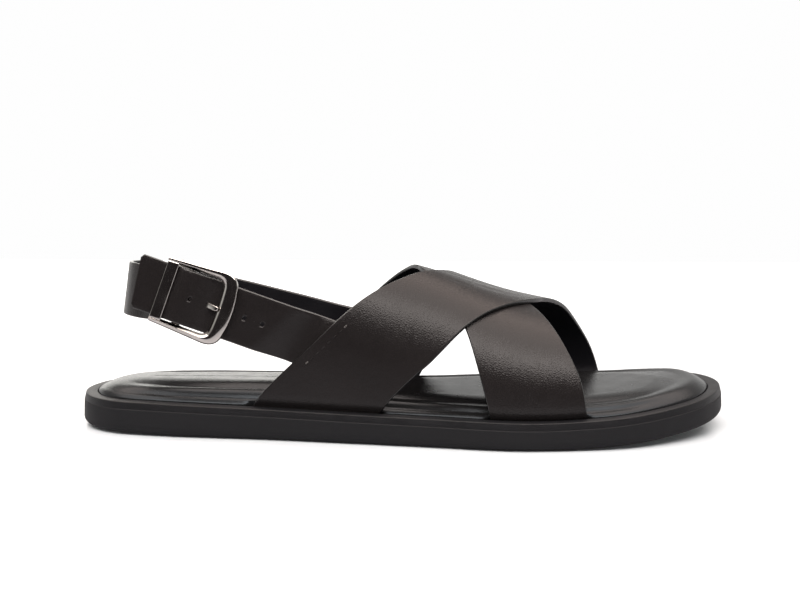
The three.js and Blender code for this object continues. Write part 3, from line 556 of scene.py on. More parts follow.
def grain_group():
    """Leather grain: fine cells with creases between them, broken up by a slower wave."""
    if "Grain" in bpy.data.node_groups:
        return bpy.data.node_groups["Grain"]
    inputs = {"Cells per metre": NUMBER, "Wrinkles": NUMBER, "Depth": NUMBER}
    group, source, result = new_group("Grain", "ShaderNodeTree", inputs, {"Height": NUMBER, "Worn": NUMBER})
    place = add_node(group, "ShaderNodeTexCoord")["Object"]
    density = {"Vector": place, "Scale": source["Cells per metre"]}
    cells = add_node(group, "ShaderNodeTexVoronoi", density, feature="DISTANCE_TO_EDGE")["Distance"]
    pore_scale = maths(group, "MULTIPLY", source["Cells per metre"], 1.7)
    pores = add_node(group, "ShaderNodeTexNoise", {"Vector": place, "Scale": pore_scale, "Detail": 3})["Fac"]
    slow = add_node(group, "ShaderNodeTexNoise", {"Vector": place, "Scale": 120, "Detail": 2})["Fac"]
    fine = maths(group, "MULTIPLY_ADD", pores, 0.6, map_range(group, cells, (0, 0.4)))
    wave = maths(group, "MULTIPLY", slow, source["Wrinkles"])
    height = maths(group, "MULTIPLY_ADD", fine, source["Depth"], wave)
    feed(group, result, {"Height": height, "Worn": slow})
    return group


def patch_group():
    """Slow change of tone over a surface, from hands, polish and dust."""
    if "Patches" in bpy.data.node_groups:
        return bpy.data.node_groups["Patches"]
    inputs = {"Patches per metre": NUMBER, "Spread": NUMBER}
    group, source, result = new_group("Patches", "ShaderNodeTree", inputs, {"Tone": NUMBER})
    place = add_node(group, "ShaderNodeTexCoord")["Object"]
    cloud = {"Vector": place, "Scale": source["Patches per metre"], "Detail": 5, "Roughness": 0.6}
    centred = maths(group, "SUBTRACT", add_node(group, "ShaderNodeTexNoise", cloud)["Fac"], 0.5)
    feed(group, result, {"Tone": maths(group, "MULTIPLY_ADD", centred, source["Spread"], 0.5)})
    return group


def patchy_tone(tree, patches, spread):
    """A factor about a half that changes slowly over the surface."""
    values = {"Patches per metre": patches, "Spread": spread}
    return add_node(tree, "ShaderNodeGroup", values, node_tree=patch_group())["Tone"]


def surface(name, colour, roughness, spread, grain, bump, specular, tint, patches=22):
    """A finish with fine relief and a slow change of tone. Grain is (cells per metre, wrinkles, depth)."""
    if name in bpy.data.materials:
        return bpy.data.materials[name]
    material, tree, shader = new_material(name)
    values = dict(zip(("Cells per metre", "Wrinkles", "Depth"), grain))
    relief = add_node(tree, "ShaderNodeGroup", values, node_tree=grain_group())
    raised = {"Height": relief["Height"], "Distance": bump * MM}
    tone = patchy_tone(tree, patches, spread)
    swing = (roughness - ROUGHNESS_SWING, roughness + ROUGHNESS_SWING)
    finish = {
        "Base Color": blend(tree, tone, opaque(colour, 1 / tint), opaque(colour, tint)),
        "Roughness": map_range(tree, relief["Worn"], target=swing),
        "Normal": add_node(tree, "ShaderNodeBump", raised)["Normal"],
        "Specular IOR Level": specular,
    }
    feed(tree, shader, finish)
    return material


def strap_leather():
    return surface("Strap leather", settings().strap_colour, 0.24, 1.6, (1050, 0.1, 1), 0.05, 0.31, 1.2)


def strap_edge():
    return surface("Painted strap edge", (0.006, 0.006, 0.006), 0.25, 1, (600, 0.5, 0.4), 0.04, 0.8, 1.2)


def strap_lining():
    return surface("Strap lining", (0.0055, 0.0052, 0.008), 0.62, 1, (1500, 0.2, 0.6), 0.05, 0.3, 1.2)


def footbed_leather():
    colour = settings().footbed_colour
    material = surface("Footbed leather", colour, 0.25, 1.4, (1000, 0.3, 0.6), 0.045, 0.3, 1.25)
    material.node_tree.nodes["Principled BSDF"].inputs["Specular Tint"].default_value = (0.85, 1, 1.12, 1)
    return material


def sole_rubber():
    return surface("Sole rubber", settings().sole_colour, 0.6, 1.2, (1800, 0.15, 0.5), 0.04, 0.3, 1.12)


def rim_rubber():
    colour = [0.85 * c for c in settings().sole_colour]
    return surface("Rim rubber", colour, 0.42, 1.6, (1300, 0.3, 0.9), 0.05, 0.3, 1.3, 60)


def thread_fibre():
    return surface("Thread", (0.016, 0.0145, 0.0145), 0.6, 1, (3000, 0.2, 0.8), 0.04, 0.25, 1.2)


def tack_fibre():
    return surface("Waxed thread end", (0.11, 0.105, 0.1), 0.4, 1, (3000, 0.2, 0.8), 0.04, 0.5, 1.2)


def buckle_metal():
    name, colour = "Gunmetal plating", settings().metal_colour
    if name in bpy.data.materials:
        return bpy.data.materials[name]
    material, tree, shader = new_material(name)
    tone = patchy_tone(tree, 160, 1.5)
    finish = {
        "Base Color": blend(tree, tone, opaque(colour, 0.85), opaque(colour, 1.1)),
        "Roughness": map_range(tree, tone, target=(0.07, 0.16)),
        "Metallic": 1,
    }
    feed(tree, shader, finish)
    return material


# Sole pieces
OUTLINE_STEPS = 150
RIM_LAYER = 3.1
SEAT_DEPTH = 1.6
EDGE_RADIUS = 2.6
GROOVE_PITCH, GROOVE_WIDTH, GROOVE_DEPTH, TREAD_MARGIN = 8, 2.6, 1.2, 13
GROOVED = ((-0.43, -0.24), (0.04, 0.42))


def box_mesh(name, size, place):
    half = np.array(size) / 2
    corners = np.array([(x, y, z) for x in (-1, 1) for y in (-1, 1) for z in (-1, 1)]) * half + place
    faces = [(0, 1, 3, 2), (4, 6, 7, 5), (0, 4, 5, 1), (2, 3, 7, 6), (0, 2, 6, 4), (1, 5, 7, 3)]
    return object_from(name, corners, faces, smooth=False)


def groove_bars(last):
    """Rows of bars, trimmed to the tread's outline, to cut its grooves with."""
    rings = [last.ring(48, TREAD_MARGIN, lambda x, d=d: last.under(x) + d * GROOVE_DEPTH) for d in (-1, 1)]
    zone = loft("Tread zone", rings, smooth=False)
    bars = []
    for start, end in GROOVED:
        count = int(np.ceil((end - start) * last.length / GROOVE_PITCH))
        bar = box_mesh("Groove bar", (GROOVE_WIDTH, 3 * last.half, 60), (start * last.length, 0, 0))
        bars.append(add_tree(bar, row_tree(), {"Count": count, "Step": (GROOVE_PITCH * MM, 0, 0)}))
    for bar in bars:
        apply_boolean(bar, zone, "INTERSECT")
    bpy.data.objects.remove(zone)
    return bars


def make_outsole():
    last = Last()
    r = EDGE_RADIUS
    top = lambda x: last.rim(x) - RIM_LAYER
    levels = [(6, lambda x: last.under(x)), (r, lambda x: last.under(x))]
    for turn in np.radians((22, 45, 67, 90)):
        lift = r * (1 - np.cos(turn))
        levels.append((r * (1 - np.sin(turn)), lambda x, lift=lift: last.under(x) + lift))
    for share in (0.3, 0.6, 0.85):
        levels.append((0.3 * share, lambda x, share=share: mix(last.under(x) + r, top(x), share)))
    levels += [(0.27, lambda x: top(x) - 0.4), (0.31, lambda x: top(x) - 0.2), (0.4, lambda x: top(x) - 0.06)]
    levels += [(0.52, top), (9, top)]
    piece = loft("outsole_tread", [last.ring(OUTLINE_STEPS, inset, height) for inset, height in levels])
    for bar in groove_bars(last):
        cut(piece, bar)
    shade_by_angle(piece, 35)
    finish_piece(piece, [sole_rubber()], "outsole")


def make_rim():
    last = Last()
    edge = SIDE_STEP + RIM_DRAFT
    seat = last.seat
    levels = (
        (12, SEAT_DEPTH), (seat + 0.05, SEAT_DEPTH), (seat, SEAT_DEPTH - 0.05), (seat, 0.25),
        (seat - 0.06, 0.08), (seat - 0.2, 0), (seat - 1.6, -0.03), (edge + 1.6, -0.03), (edge + 0.42, 0.01),
        (edge + 0.2, 0.09), (edge + 0.05, 0.26), (edge, 0.5), (edge - 0.12, 1.1), (SIDE_STEP + 0.16, 2.1),
        (SIDE_STEP + 0.08, RIM_LAYER - 0.06), (SIDE_STEP + 0.3, RIM_LAYER - 0.02), (12, RIM_LAYER - 0.02),
    )
    rings = [last.ring(OUTLINE_STEPS, inset, lambda x, drop=drop: last.rim(x) - drop) for inset, drop in levels]
    piece = loft("rim_layer", rings)
    shade_by_angle(piece, 50)
    finish_piece(piece, [rim_rubber()], "midsole")


# Footbed
PAD_INSET_GAP = 0.3
LEG_ROOM = 2.4
PAD_STEPS = 180
PAD_SPINE_ENDS = (0.62, 0.72)
MEDIAL_FOLDS = 0.35


def leg_rooms(last, places, side):
    """How much of each place along one side of the footbed's edge is taken by the legs of the cross straps."""
    x = places[:, 0]
    room = np.zeros(len(places))
    for rows in (OVER_STRAP, UNDER_STRAP):
        row = 0 if side < 0 else -1
        rear, front = rows["rear"][row] * last.length, rows["front"][row] * last.length
        inside = smoothstep(x, rear - 1.6, rear - 0.4) * (1 - smoothstep(x, front + 0.4, front + 1.6))
        room = np.maximum(room, inside)
    return room


def pad_folds(distance, share):
    """Shallow folds in the footbed's leather along its lateral side, as shares of its crown."""
    rise = 0 * share
    for inset, width, height, start, end in zip(*PAD_FOLDS.values()):
        along = smoothstep(share, start - 0.05, start + 0.03) * (1 - smoothstep(share, end - 0.03, end + 0.05))
        rise = rise + height * np.exp(-(((distance - inset) / width) ** 2)) * along
    return rise


def make_footbed():
    last = Last()
    steps = PAD_STEPS
    side_rise, heel_rise, toe_rise = (curve_of(PAD_SECTION, "inset", key) for key in ("sides", "heel", "toe"))
    crown = curve_of(PAD_CROWN, "along", "height")
    ring = last.ring(steps, last.seat + PAD_INSET_GAP, last.rim)
    rooms = [leg_rooms(last, ring[: steps + 1], -1), leg_rooms(last, ring[steps + 1 :], 1)]
    room = np.concatenate(rooms) * LEG_ROOM
    ends = np.array(PAD_SPINE_ENDS) * last.half - last.length / 2
    spine = np.clip(ring[:, 0], ends[0], -ends[1])
    middle = (last.edge(spine, -1) + last.edge(spine, 1)) / 2
    way = np.stack((spine, middle), axis=1) - ring[:, :2]
    reach = np.linalg.norm(way, axis=1)
    way /= reach[:, None]

    def level(distance, height):
        moved = np.minimum(np.maximum(distance, room), reach * 0.985)
        flat = ring[:, :2] + way * moved[:, None]
        return np.column_stack((flat, last.rim(flat[:, 0]) + height(flat[:, 0])))

    lateral = np.where(np.arange(len(ring)) <= steps, 1, MEDIAL_FOLDS)

    def pad_height(distance):
        def height(x):
            share = last.share(x)
            rise = mix(side_rise(distance), heel_rise(distance), 1 - smoothstep(share, 0.05, 0.16))
            rise = mix(rise, toe_rise(distance), smoothstep(share, 0.82, 0.92))
            return settings().pad_rise * crown(share) * (rise + pad_folds(distance, share) * lateral)

        return height

    floor = lambda x: 0 * x - SEAT_DEPTH + 0.3
    distances = np.concatenate((np.linspace(0.05, 1.8, 6), np.linspace(2.3, 24.5, 40), np.linspace(26, 48, 14)))
    rings = [level(9, floor), level(0.5, floor), level(0.05, lambda x: floor(x) + 0.3)]
    rings += [level(d, pad_height(d)) for d in distances]
    piece = loft("footbed_pad", rings)
    piece.modifiers.new("Smooth", "SUBSURF").levels = 1
    piece.modifiers["Smooth"].render_levels = 1
    baked(piece)
    finish_piece(piece, [footbed_leather()], "insole")


# Cross straps
def finish_strap(piece, node):
    finish_piece(piece, [strap_leather(), strap_edge(), strap_lining()], node)


def cross_strap_surface(last, rows, lift_height):
    """A function to the place at x and turn, and at a height over the inside of the strap."""
    lift = curve_of(rows, "turn", "lift")

    def at(x, turn, height):
        up = lift(turn) * lift_height + height
        return last.point(x, turn) + last.normal(x, turn) * np.asarray(up)[..., None]

    return at


def crease_depth(creases, turn, across):
    """How far a strap lies in at a turn along it and a share across it."""
    fall = 0 * across
    for place, lean, width, depth, centre, reach in zip(*creases.values()):
        away = (turn - place - lean * (across - 0.5)) / width
        fade = np.exp(-(((across - centre) / reach) ** 2))
        fall = fall - depth * np.exp(-(away**2)) * fade
    return fall


def make_cross_strap(name, rows, lift_height, creases=None):
    last = Last()
    rear, front = curve_of(rows, "turn", "rear"), curve_of(rows, "turn", "front")
    turn, across = np.meshgrid(np.linspace(-1, 1, 190), np.linspace(0, 1, 57), indexing="ij")
    x = mix(rear(turn), front(turn), across) * last.length
    height = last.leather / 2 + crease_depth(creases or {}, turn, across)
    grid = cross_strap_surface(last, rows, lift_height)(x, turn, height)

    def foot(row, side):
        low = row.copy()
        low[:, 1] = last.beside(row[:, 0], side, last.leg - last.leather / 2)
        low[:, 2] = last.rim(row[:, 0]) - SEAT_DEPTH + 0.4
        return low

    grid = np.concatenate(([foot(grid[0], -1)], grid, [foot(grid[-1], 1)]))
    finish_strap(leather_band(name, grid, last.leather, 0.5), "upper")


# Heel strap and billet
BAND_COLUMNS = 14
STRAP_LEATHER, FOLD_LEATHER = 1.8, 1.3
LAID_DEPTH = LEG_GAP + STRAP_LEATHER / 2
TIP_CORNER = 1.3
LAID_UNTIL = 0.34
LAID_FROM, LAID_OVER = 26, 22
TUCKED_UNDER = 8
FOLD_LENGTH = 17
HEEL_STEPS = 900
BILLET_TIP, BILLET_SLANT, BILLET_BEND_END = -21.5, 0.13, 24
HOLE_RADIUS = 0.95


def rear_edge(last, rows, side):
    """A cross strap's rear edge on one side, as how far along it lies at a height."""
    rear = curve_of(rows, "turn", "rear")
    turn = side * (1 - np.arange(12) / 12)
    places = last.point(rear(turn) * last.length, turn)
    return curve_of({"up": places[:, 2], "along": places[:, 0]}, "up", "along")


def laid(last, places, side, edge):
    """Places laid against the inside of a cross strap near its rear edge."""
    along, height = places[..., 0], places[..., 2]
    limit = edge(height)
    near = smoothstep(along - limit, -LAID_FROM, LAID_OVER - LAID_FROM)
    laid_y = last.side_at(along, height, side) - side * LAID_DEPTH
    moved = places.copy()
    moved[..., 1] = mix(places[..., 1], laid_y, near)
    return moved


def across_band():
    return (0.5 - np.arange(BAND_COLUMNS + 1) / BAND_COLUMNS) * settings().band_width


def make_billet():
    last, buckle = Last(), Buckle()
    edge = rear_edge(last, OVER_STRAP, -1)
    lift = curve_of(BILLET_LIFT, "along", "lift")
    columns = across_band()
    ends = []
    for across in columns:
        run = np.arange(0, 160, 0.5)
        line = buckle.at(run, across, 0)
        ends.append(run[np.argmax(line[:, 0] >= edge(line[:, 2]) + TUCKED_UNDER)])
    tip_along = BILLET_TIP - BILLET_SLANT * columns
    corner = TIP_CORNER * (1 - np.minimum((columns[0] - np.abs(columns)) / TIP_CORNER, 1))
    corner = TIP_CORNER - np.sqrt(np.maximum(TIP_CORNER**2 - corner**2, 0))
    rows = [buckle.at(mix(tip_along + corner, -13, t), columns, 0) for t in np.linspace(0, 1, 10) ** 1.3]
    rows += [buckle.at(a, columns, lift(a) * buckle.bulge) for a in np.arange(-12.2, BILLET_BEND_END, 0.75)]
    for t in np.linspace(0, 1, 44):
        rows.append(laid(last, buckle.at(mix(BILLET_BEND_END, np.array(ends), t), columns, 0), -1, edge))
    piece = leather_band("billet_leather", np.array(rows), STRAP_LEATHER)
    turns = np.radians(np.arange(20) * 18)
    first = buckle.reach + FIRST_HOLE * buckle.hole_pitch
    ring = lambda out: buckle.at(first + HOLE_RADIUS * np.cos(turns), HOLE_RADIUS * np.sin(turns), out)
    punch = loft("Punch", [ring(-5), ring(5)])
    step = tuple(buckle.axes[0] * buckle.hole_pitch * MM)
    punches = add_tree(punch, row_tree(), {"Count": HOLE_COUNT, "Step": step})
    cut(piece, punches)
    finish_strap(piece, "billet_strap")


def make_heel_strap():
    last, buckle = Last(), Buckle()
    edge = rear_edge(last, UNDER_STRAP, 1)
    columns = across_band()
    fold = buckle.bar_radius + BUCKLE_GAP + FOLD_LEATHER / 2
    top = fold - buckle.bar_sink
    loop = np.column_stack(list(HEEL_LOOP.values())) * (last.length, last.half, last.instep)
    bar_places = ((-11, -1.2, top - 2.7), (-7, -0.4, top - 1.45), (-3, 0, top - 0.3), (0, 0, top))
    to_bar = [buckle.at(*place) for place in bar_places]
    line, length = spline(np.vstack((loop, to_bar)), HEEL_STEPS)
    tangent = unit(np.gradient(line, axis=0))
    out = unit(np.cross((0, 0, -1), tangent))
    upright = unit(np.cross(out, tangent) - np.tan(np.radians(8)) * out)
    run = np.linspace(0, length, HEEL_STEPS)
    upright = unit(mix(upright, buckle.axes[1], smoothstep(run, length - 22, length - 4)[:, None]))

    def at(share, across):
        step = np.broadcast_to(share, np.shape(across)) * (HEEL_STEPS - 1)
        values = [np.interp(step, np.arange(HEEL_STEPS), column) for column in np.hstack((line, upright)).T]
        return np.stack(values[:3], axis=-1) + unit(np.stack(values[3:], axis=-1)) * across[..., None]

    shares = np.linspace(0, 0.25, 300)
    starts = []
    for across in columns:
        places = at(shares, np.full(300, across))
        starts.append(shares[np.argmax(places[:, 0] < edge(places[:, 2]) + TUCKED_UNDER)])
    rows = []
    for t in np.linspace(0, 1, 40, endpoint=False):
        rows.append(laid(last, at(mix(np.array(starts), LAID_UNTIL, t), columns), 1, edge))
    shares = mix(LAID_UNTIL, 1, 1 - (1 - np.linspace(0, 1, 110)) ** 1.15)
    rows += [at(share, columns) for share in shares]
    for angle in np.linspace(np.pi / 2, -np.pi / 2, 18)[1:-1]:
        rows.append(buckle.at(fold * np.cos(angle), columns, fold * np.sin(angle) - buckle.bar_sink))
    leaves = (STRAP_LEATHER + FOLD_LEATHER) / 2 + 0.15
    for back in np.linspace(0, FOLD_LENGTH, 24):
        share = 1 - back / length
        turned = float(smoothstep(back, 4, 10))
        side = unit(mix(buckle.axes[2], out[int(share * (HEEL_STEPS - 1))], turned))
        rows.append(at(share, columns) - side * mix(2 * fold, leaves, smoothstep(back, 0, 9)))
    thinned = mix(FOLD_LEATHER, STRAP_LEATHER, smoothstep((1 - shares) * length, 3, 12))
    thickness = np.concatenate((np.full(40, STRAP_LEATHER), thinned, np.full(16 + 24, FOLD_LEATHER)))
    piece = leather_band("heel_strap_leather", np.array(rows), thickness)
    corners = np.array((-3.4, 3.4, 3.4, -3.4)), np.array((-1, -1, 1, 1)) * 1.65
    cut(piece, loft("Prong slot", [buckle.at(*corners, out) for out in (-5.3, 1.2)]))
    finish_strap(piece, "heel_strap")


# Buckle
BUCKLE_GAP = 0.3
KEEPER_HALF, KEEPER_BEND = 2.55, 1.6
BAR_CORNER = 0.42
PRONG_HALF_WIDTH, PRONG_HALF_HEIGHT, PRONG_STEPS = 1.3, 0.75, 70


def frame_outline(tail, tip, a, b, corner, bow):
    """The buckle's outline from rail to rail, open at its tail. Half its width is a there and b at the tip."""

    def bend(p0, p1, p2, count):
        t = np.linspace(0, 1, count, endpoint=False)[:, None]
        return (1 - t) ** 2 * p0 + 2 * t * (1 - t) * p1 + t * t * p2

    p = [np.array(v) for v in (
        (tail, -a), (tip - bow - corner, -b), (tip - bow, -b), (tip - bow * 0.6, corner - b),
        (tip + bow * 0.6, 0), (tip - bow * 0.6, b - corner), (tip - bow, b), (tip - bow - corner, b), (tail, a),
    )]
    rail = np.linspace(p[0], p[1], 12, endpoint=False)
    back = np.linspace(p[7], p[8], 13)
    return np.vstack((rail, bend(*p[1:4], 9), bend(*p[3:6], 24), bend(*p[5:8], 9), back))


def frame_rings(buckle):
    """Sections of the cast frame, from one rail's end round the outer bar to the other's."""
    outer_half = buckle.inner + 2.4
    outer = frame_outline(-buckle.tail, buckle.nose, outer_half, outer_half + 1.6, 7, 1.6)
    inner_tip = buckle.nose - buckle.outer_bar
    inner = frame_outline(-buckle.tail, inner_tip, buckle.inner, buckle.inner + 0.2, 3.5, 0.6)
    width = np.linalg.norm(outer - inner, axis=1)
    clear = STRAP_LEATHER / 2 + BUCKLE_GAP
    low = mix(-0.5, clear, smoothstep(outer[:, 0], 3, 11))
    high = clear + mix(1.5, 2.4, smoothstep(outer[:, 0], -4, 14))
    bevel = np.minimum(1.9, 0.42 * width)
    upper = smoothstep(outer[:, 1], -outer_half + 1, -outer_half + 9)
    edge = mix(np.minimum(2.4, 0.6 * width), 0.7, upper)
    fall = mix(1.3, 0.42, upper)
    crown = 0.04 * (width - edge - bevel)
    flat = width - bevel
    section = [
        (0.3 + 0 * width, low), (0.06 + 0 * width, low + 0.1), (0 * width, low + 0.3),
        (0 * width, high - fall - 0.35), (edge * 0.12, high - fall * 0.85), (edge * 0.5, high - fall * 0.34),
        (edge, high), (mix(edge, flat, 0.25), high + 0.8 * crown), (mix(edge, flat, 0.5), high + crown),
        (mix(edge, flat, 0.75), high + 0.8 * crown), (flat - 0.1, high), (flat + 0.08, high - 0.08),
        (width - 0.16, low + 0.62 + 0.2 * bevel), (width, low + 0.4), (width, low + 0.2), (width - 0.2, low),
    ]
    inward = (inner - outer) / width[:, None]
    rings = []
    for inset, height in section:
        place = outer + inward * inset[:, None]
        rings.append(buckle.at(place[:, 0], place[:, 1], height))
    return np.stack(rings, axis=1)


def rounded_section(half_width, half_height, corner):
    """A rounded rectangle's points, anticlockwise from the upper end of its right side."""
    points = []
    for k, signs in enumerate(((1, 1), (-1, 1), (-1, -1), (1, -1))):
        middle = signs * (np.array((half_width, half_height)) - corner)
        turns = np.radians(90 * k + np.linspace(0, 90, 4))
        points.append(middle + corner * np.column_stack((np.cos(turns), np.sin(turns))))
    return np.vstack(points)


def bar_rings(buckle, end):
    """Rings along the bar, from one end across the buckle to the other."""
    turns = np.linspace(0, 2 * np.pi, 24, endpoint=False)
    along, out = buckle.bar_radius * np.cos(turns), buckle.bar_radius * np.sin(turns) - buckle.bar_sink
    return np.stack([buckle.at(along, across, out) for across in (-end, 0, end)])


def keeper_rings(buckle):
    """The flat keeper band over the billet, turned down at both ends into the rails."""
    clear = STRAP_LEATHER / 2 + BUCKLE_GAP
    half = buckle.inner + 1.45
    section = rounded_section(KEEPER_HALF, 0.55, BAR_CORNER)
    bent = np.linspace(half - KEEPER_BEND, half, 7)
    across = np.concatenate((-bent[::-1], np.linspace(3 - half, half - 3, 9), bent))
    rings = []
    for place in across:
        bend = np.clip((np.abs(place) - half + KEEPER_BEND) / KEEPER_BEND, 0, 1)
        drop = 1.2 * (1 - np.sqrt(1 - 0.96 * bend**2))
        middle = clear + 0.85 - drop
        rings.append(buckle.at(KEEPER_HALF - buckle.tail + section[:, 0], place, middle + section[:, 1]))
    return np.stack(rings)


def lug_rings(buckle, side):
    """The eye that holds the bar under one rail, drawn up to the rail."""
    turns = np.linspace(0, 2 * np.pi, 24, endpoint=False)
    radius = buckle.bar_radius + 1
    along, out = radius * np.cos(turns), radius * np.sin(turns) - buckle.bar_sink
    out = np.where(out > -buckle.bar_sink, out + smoothstep(np.sin(turns), 0, 1) * 1.6, out)
    rings = []
    for inset, shrink in ((0, 0.86), (0.25, 0.97), (0.6, 1), (1.3, 1), (1.65, 0.97), (1.9, 0.86)):
        middle = -buckle.bar_sink + 0.5
        rings.append(buckle.at(along * shrink, side * (buckle.inner + inset), middle + (out - middle) * shrink))
    return np.stack(rings)


def make_buckle_frame():
    buckle = Buckle()
    stacks = [frame_rings(buckle), keeper_rings(buckle), bar_rings(buckle, buckle.inner + 0.7)]
    stacks += [lug_rings(buckle, side) for side in (-1, 1)]
    piece = loft("buckle_cast_frame", *stacks)
    shade_by_angle(piece, 40)
    finish_piece(piece, [buckle_metal()], "buckle_frame")


def make_prong():
    buckle = Buckle()
    eye = buckle.bar_radius + BUCKLE_GAP + PRONG_HALF_HEIGHT
    turns = np.radians(PRONG_EYE_TURNS)
    around = np.column_stack((eye * np.cos(turns), eye * np.sin(turns) - buckle.bar_sink))
    shank = np.column_stack((PRONG_SHANK["along"], PRONG_SHANK["out"]))
    line, _ = spline(np.pad(np.vstack((around, shank)), ((0, 0), (0, 1))), PRONG_STEPS)
    way = unit(np.gradient(line, axis=0))
    section = rounded_section(PRONG_HALF_WIDTH, PRONG_HALF_HEIGHT, BAR_CORNER)
    thin = np.interp(np.arange(PRONG_STEPS), [0, 2, 50, 67, 69], [0.8, 1, 1, 0.8, 0.45])
    rings = []
    for (along, out, _), (step, rise, _), size in zip(line, way, thin):
        across, up = section.T * size
        rings.append(buckle.at(along - rise * up, across, out + step * up))
    piece = loft("buckle_prong_bent", np.array(rings))
    finish_piece(piece, [buckle_metal()], "buckle_prong")


# Seams
SEAM_INSET = 5.6
TACK = {"pitch": 0.8, "length": 0.9, "thread": 0.8}


def seam_on_strap(name, rows, lift_height, turns):
    """Stitches beside a cross strap's rear edge, with a small tack at each end."""
    last = Last()
    rear = curve_of(rows, "turn", "rear")
    surface_at = cross_strap_surface(last, rows, lift_height)
    turn = np.linspace(*turns, 30)
    x = rear(turn) * last.length + SEAM_INSET
    places, out = surface_at(x, turn, last.leather), last.normal(x, turn)
    seam(name, places, out, thread_fibre(), settings().stitch)
    for end, label in ((slice(0, 2), "start"), (slice(-2, None), "end")):
        short = places[end].copy()
        short[1] = short[0] + unit(short[1] - short[0]) * TACK["pitch"]
        seam(f"{name}_{label}_tack", short, out[end], tack_fibre(), **TACK)


# Stage
CAMERA_PLACE = (0.01953, -0.636977, 0.151221)
CAMERA_AXES = ((0.999489, 0.031971, 0.000668), (-0.005390, 0.147840, 0.988997), (0.031520, -0.988494, 0.147936))
ROOM_LIGHT, WALL_LIGHT, HORIZON_LIGHT = (0.024, 0.021, 0.022), (0.38, 0.365, 0.35), (0.86, 0.85, 0.83)
FLOOR_FRONT, FLOOR_BACK, FLOOR_SIDE = -0.9, 0.6, 1.2
FLOOR_THICKNESS, FLOOR_GAP = 0.02, 0.0002


def area_light(name, place, target, size, power, colour):
    data = bpy.data.lights.new(name, "AREA")
    data.shape = "RECTANGLE"
    data.size, data.size_y = size
    data.energy = power
    data.color = colour
    light = bpy.data.objects.new(name, data)
    light.visible_camera = False
    bpy.context.collection.objects.link(light)
    back = unit(np.array(place) - np.array(target))
    right = unit(np.cross((0, 0, 1), back)) if abs(back[2]) < 0.99 else np.array((1, 0, 0))
    axes = np.array((right, np.cross(back, right), back))
    light.matrix_world = Matrix.Translation(place) @ Matrix(axes.T.tolist()).to_4x4()


def make_floor():
    """A pale floor that ends under the camera, beyond which the sandal's near side mirrors a dim room.

    The camera sees it brighter than the sandal does, and far from the sandal it fades into the backdrop.
    """
    size = np.array((2 * FLOOR_SIDE, FLOOR_BACK - FLOOR_FRONT, FLOOR_THICKNESS)) / MM
    middle = np.array((0, (FLOOR_BACK + FLOOR_FRONT) / 2, -FLOOR_THICKNESS / 2 - FLOOR_GAP)) / MM
    floor = box_mesh("Studio floor", size, middle)
    material, tree, shader = new_material("Studio floor")
    from_camera = add_node(tree, "ShaderNodeLightPath")["Is Camera Ray"]
    lit = blend(tree, patchy_tone(tree, 3, 0.5), (0.41, 0.43, 0.465, 1), (0.43, 0.45, 0.485, 1))
    place = add_node(tree, "ShaderNodeNewGeometry")["Position"]
    reach = add_node(tree, "ShaderNodeVectorMath", {0: place}, operation="LENGTH")["Value"]
    glow = map_range(tree, reach, (0.2, 0.5), (0.03, 0.72))
    finish = {
        "Base Color": blend(tree, from_camera, lit, (0.8, 0.87, 0.92, 1)),
        "Roughness": 0.22,
        "Specular IOR Level": 0.35,
        "Emission Color": (1, 1, 1, 1),
        "Emission Strength": maths(tree, "MULTIPLY", from_camera, glow),
    }
    feed(tree, shader, finish)
    floor.data.materials.append(material)


def make_world():
    """White all round for the camera; for light, a dim room in front and a pale backdrop behind."""
    world = bpy.data.worlds.new("Studio")
    bpy.context.scene.world = world
    world.use_nodes = True
    tree = world.node_tree
    place = add_node(tree, "ShaderNodeTexCoord")["Generated"]
    axes = add_node(tree, "ShaderNodeSeparateXYZ", {"Vector": place})
    back = map_range(tree, axes["Y"], (-0.75, 0.2), interpolation_type="SMOOTHSTEP")
    high = map_range(tree, axes["Z"], (0.2, 0.42), interpolation_type="SMOOTHSTEP")
    wall = blend(tree, high, opaque(HORIZON_LIGHT), opaque(WALL_LIGHT))
    room = blend(tree, back, opaque(ROOM_LIGHT), wall)
    from_camera = add_node(tree, "ShaderNodeLightPath")["Is Camera Ray"]
    feed(tree, tree.nodes["Background"], {"Color": blend(tree, from_camera, room, (0.99, 0.99, 0.99, 1))})


def make_camera():
    data = bpy.data.cameras.new("Camera")
    data.lens = 64.85
    data.sensor_width = 36
    camera = bpy.data.objects.new("Camera", data)
    bpy.context.collection.objects.link(camera)
    turn = Matrix(np.array(CAMERA_AXES).T.tolist()).to_4x4()
    camera.matrix_world = Matrix.Translation(CAMERA_PLACE) @ turn
    bpy.context.scene.camera = camera


def make_lights():
    area_light("Top softbox", (0, -0.55, 1.3), (0, -0.55, 0), (2.4, 1.5), 28, (1.1, 0.975, 0.91))
    area_light("Rear softbox", (0, 0.65, 1.3), (0, 0.65, 0), (2.4, 0.9), 13.5, (1.13, 0.93, 0.84))
    area_light("Front softbox", (0, -0.95, 1.29), (0, -0.3, 0), (2.4, 0.7), 16, (1.04, 0.985, 0.95))
    area_light("Rear card", (-0.45, 1.2, 0.3), (-0.1, 0, 0), (0.7, 0.5), 1.6, (1.03, 1, 0.93))


# Operators
class SANDAL_OT_stage(bpy.types.Operator):
    """Sets the camera, the lights, the white surroundings and the floor"""

    bl_idname = "sandal.stage"
    bl_label = "Stage"

    def execute(self, context):
        make_camera()
        make_world()
        make_floor()
        make_lights()
        context.scene.view_settings.view_transform = "Standard"
        return {"FINISHED"}


class SANDAL_OT_sole(bpy.types.Operator):
    """Makes the outsole with its tread and the rim layer over it"""

    bl_idname = "sandal.sole"
    bl_label = "Sole"

    def execute(self, context):
        make_outsole()
        make_rim()
        return {"FINISHED"}


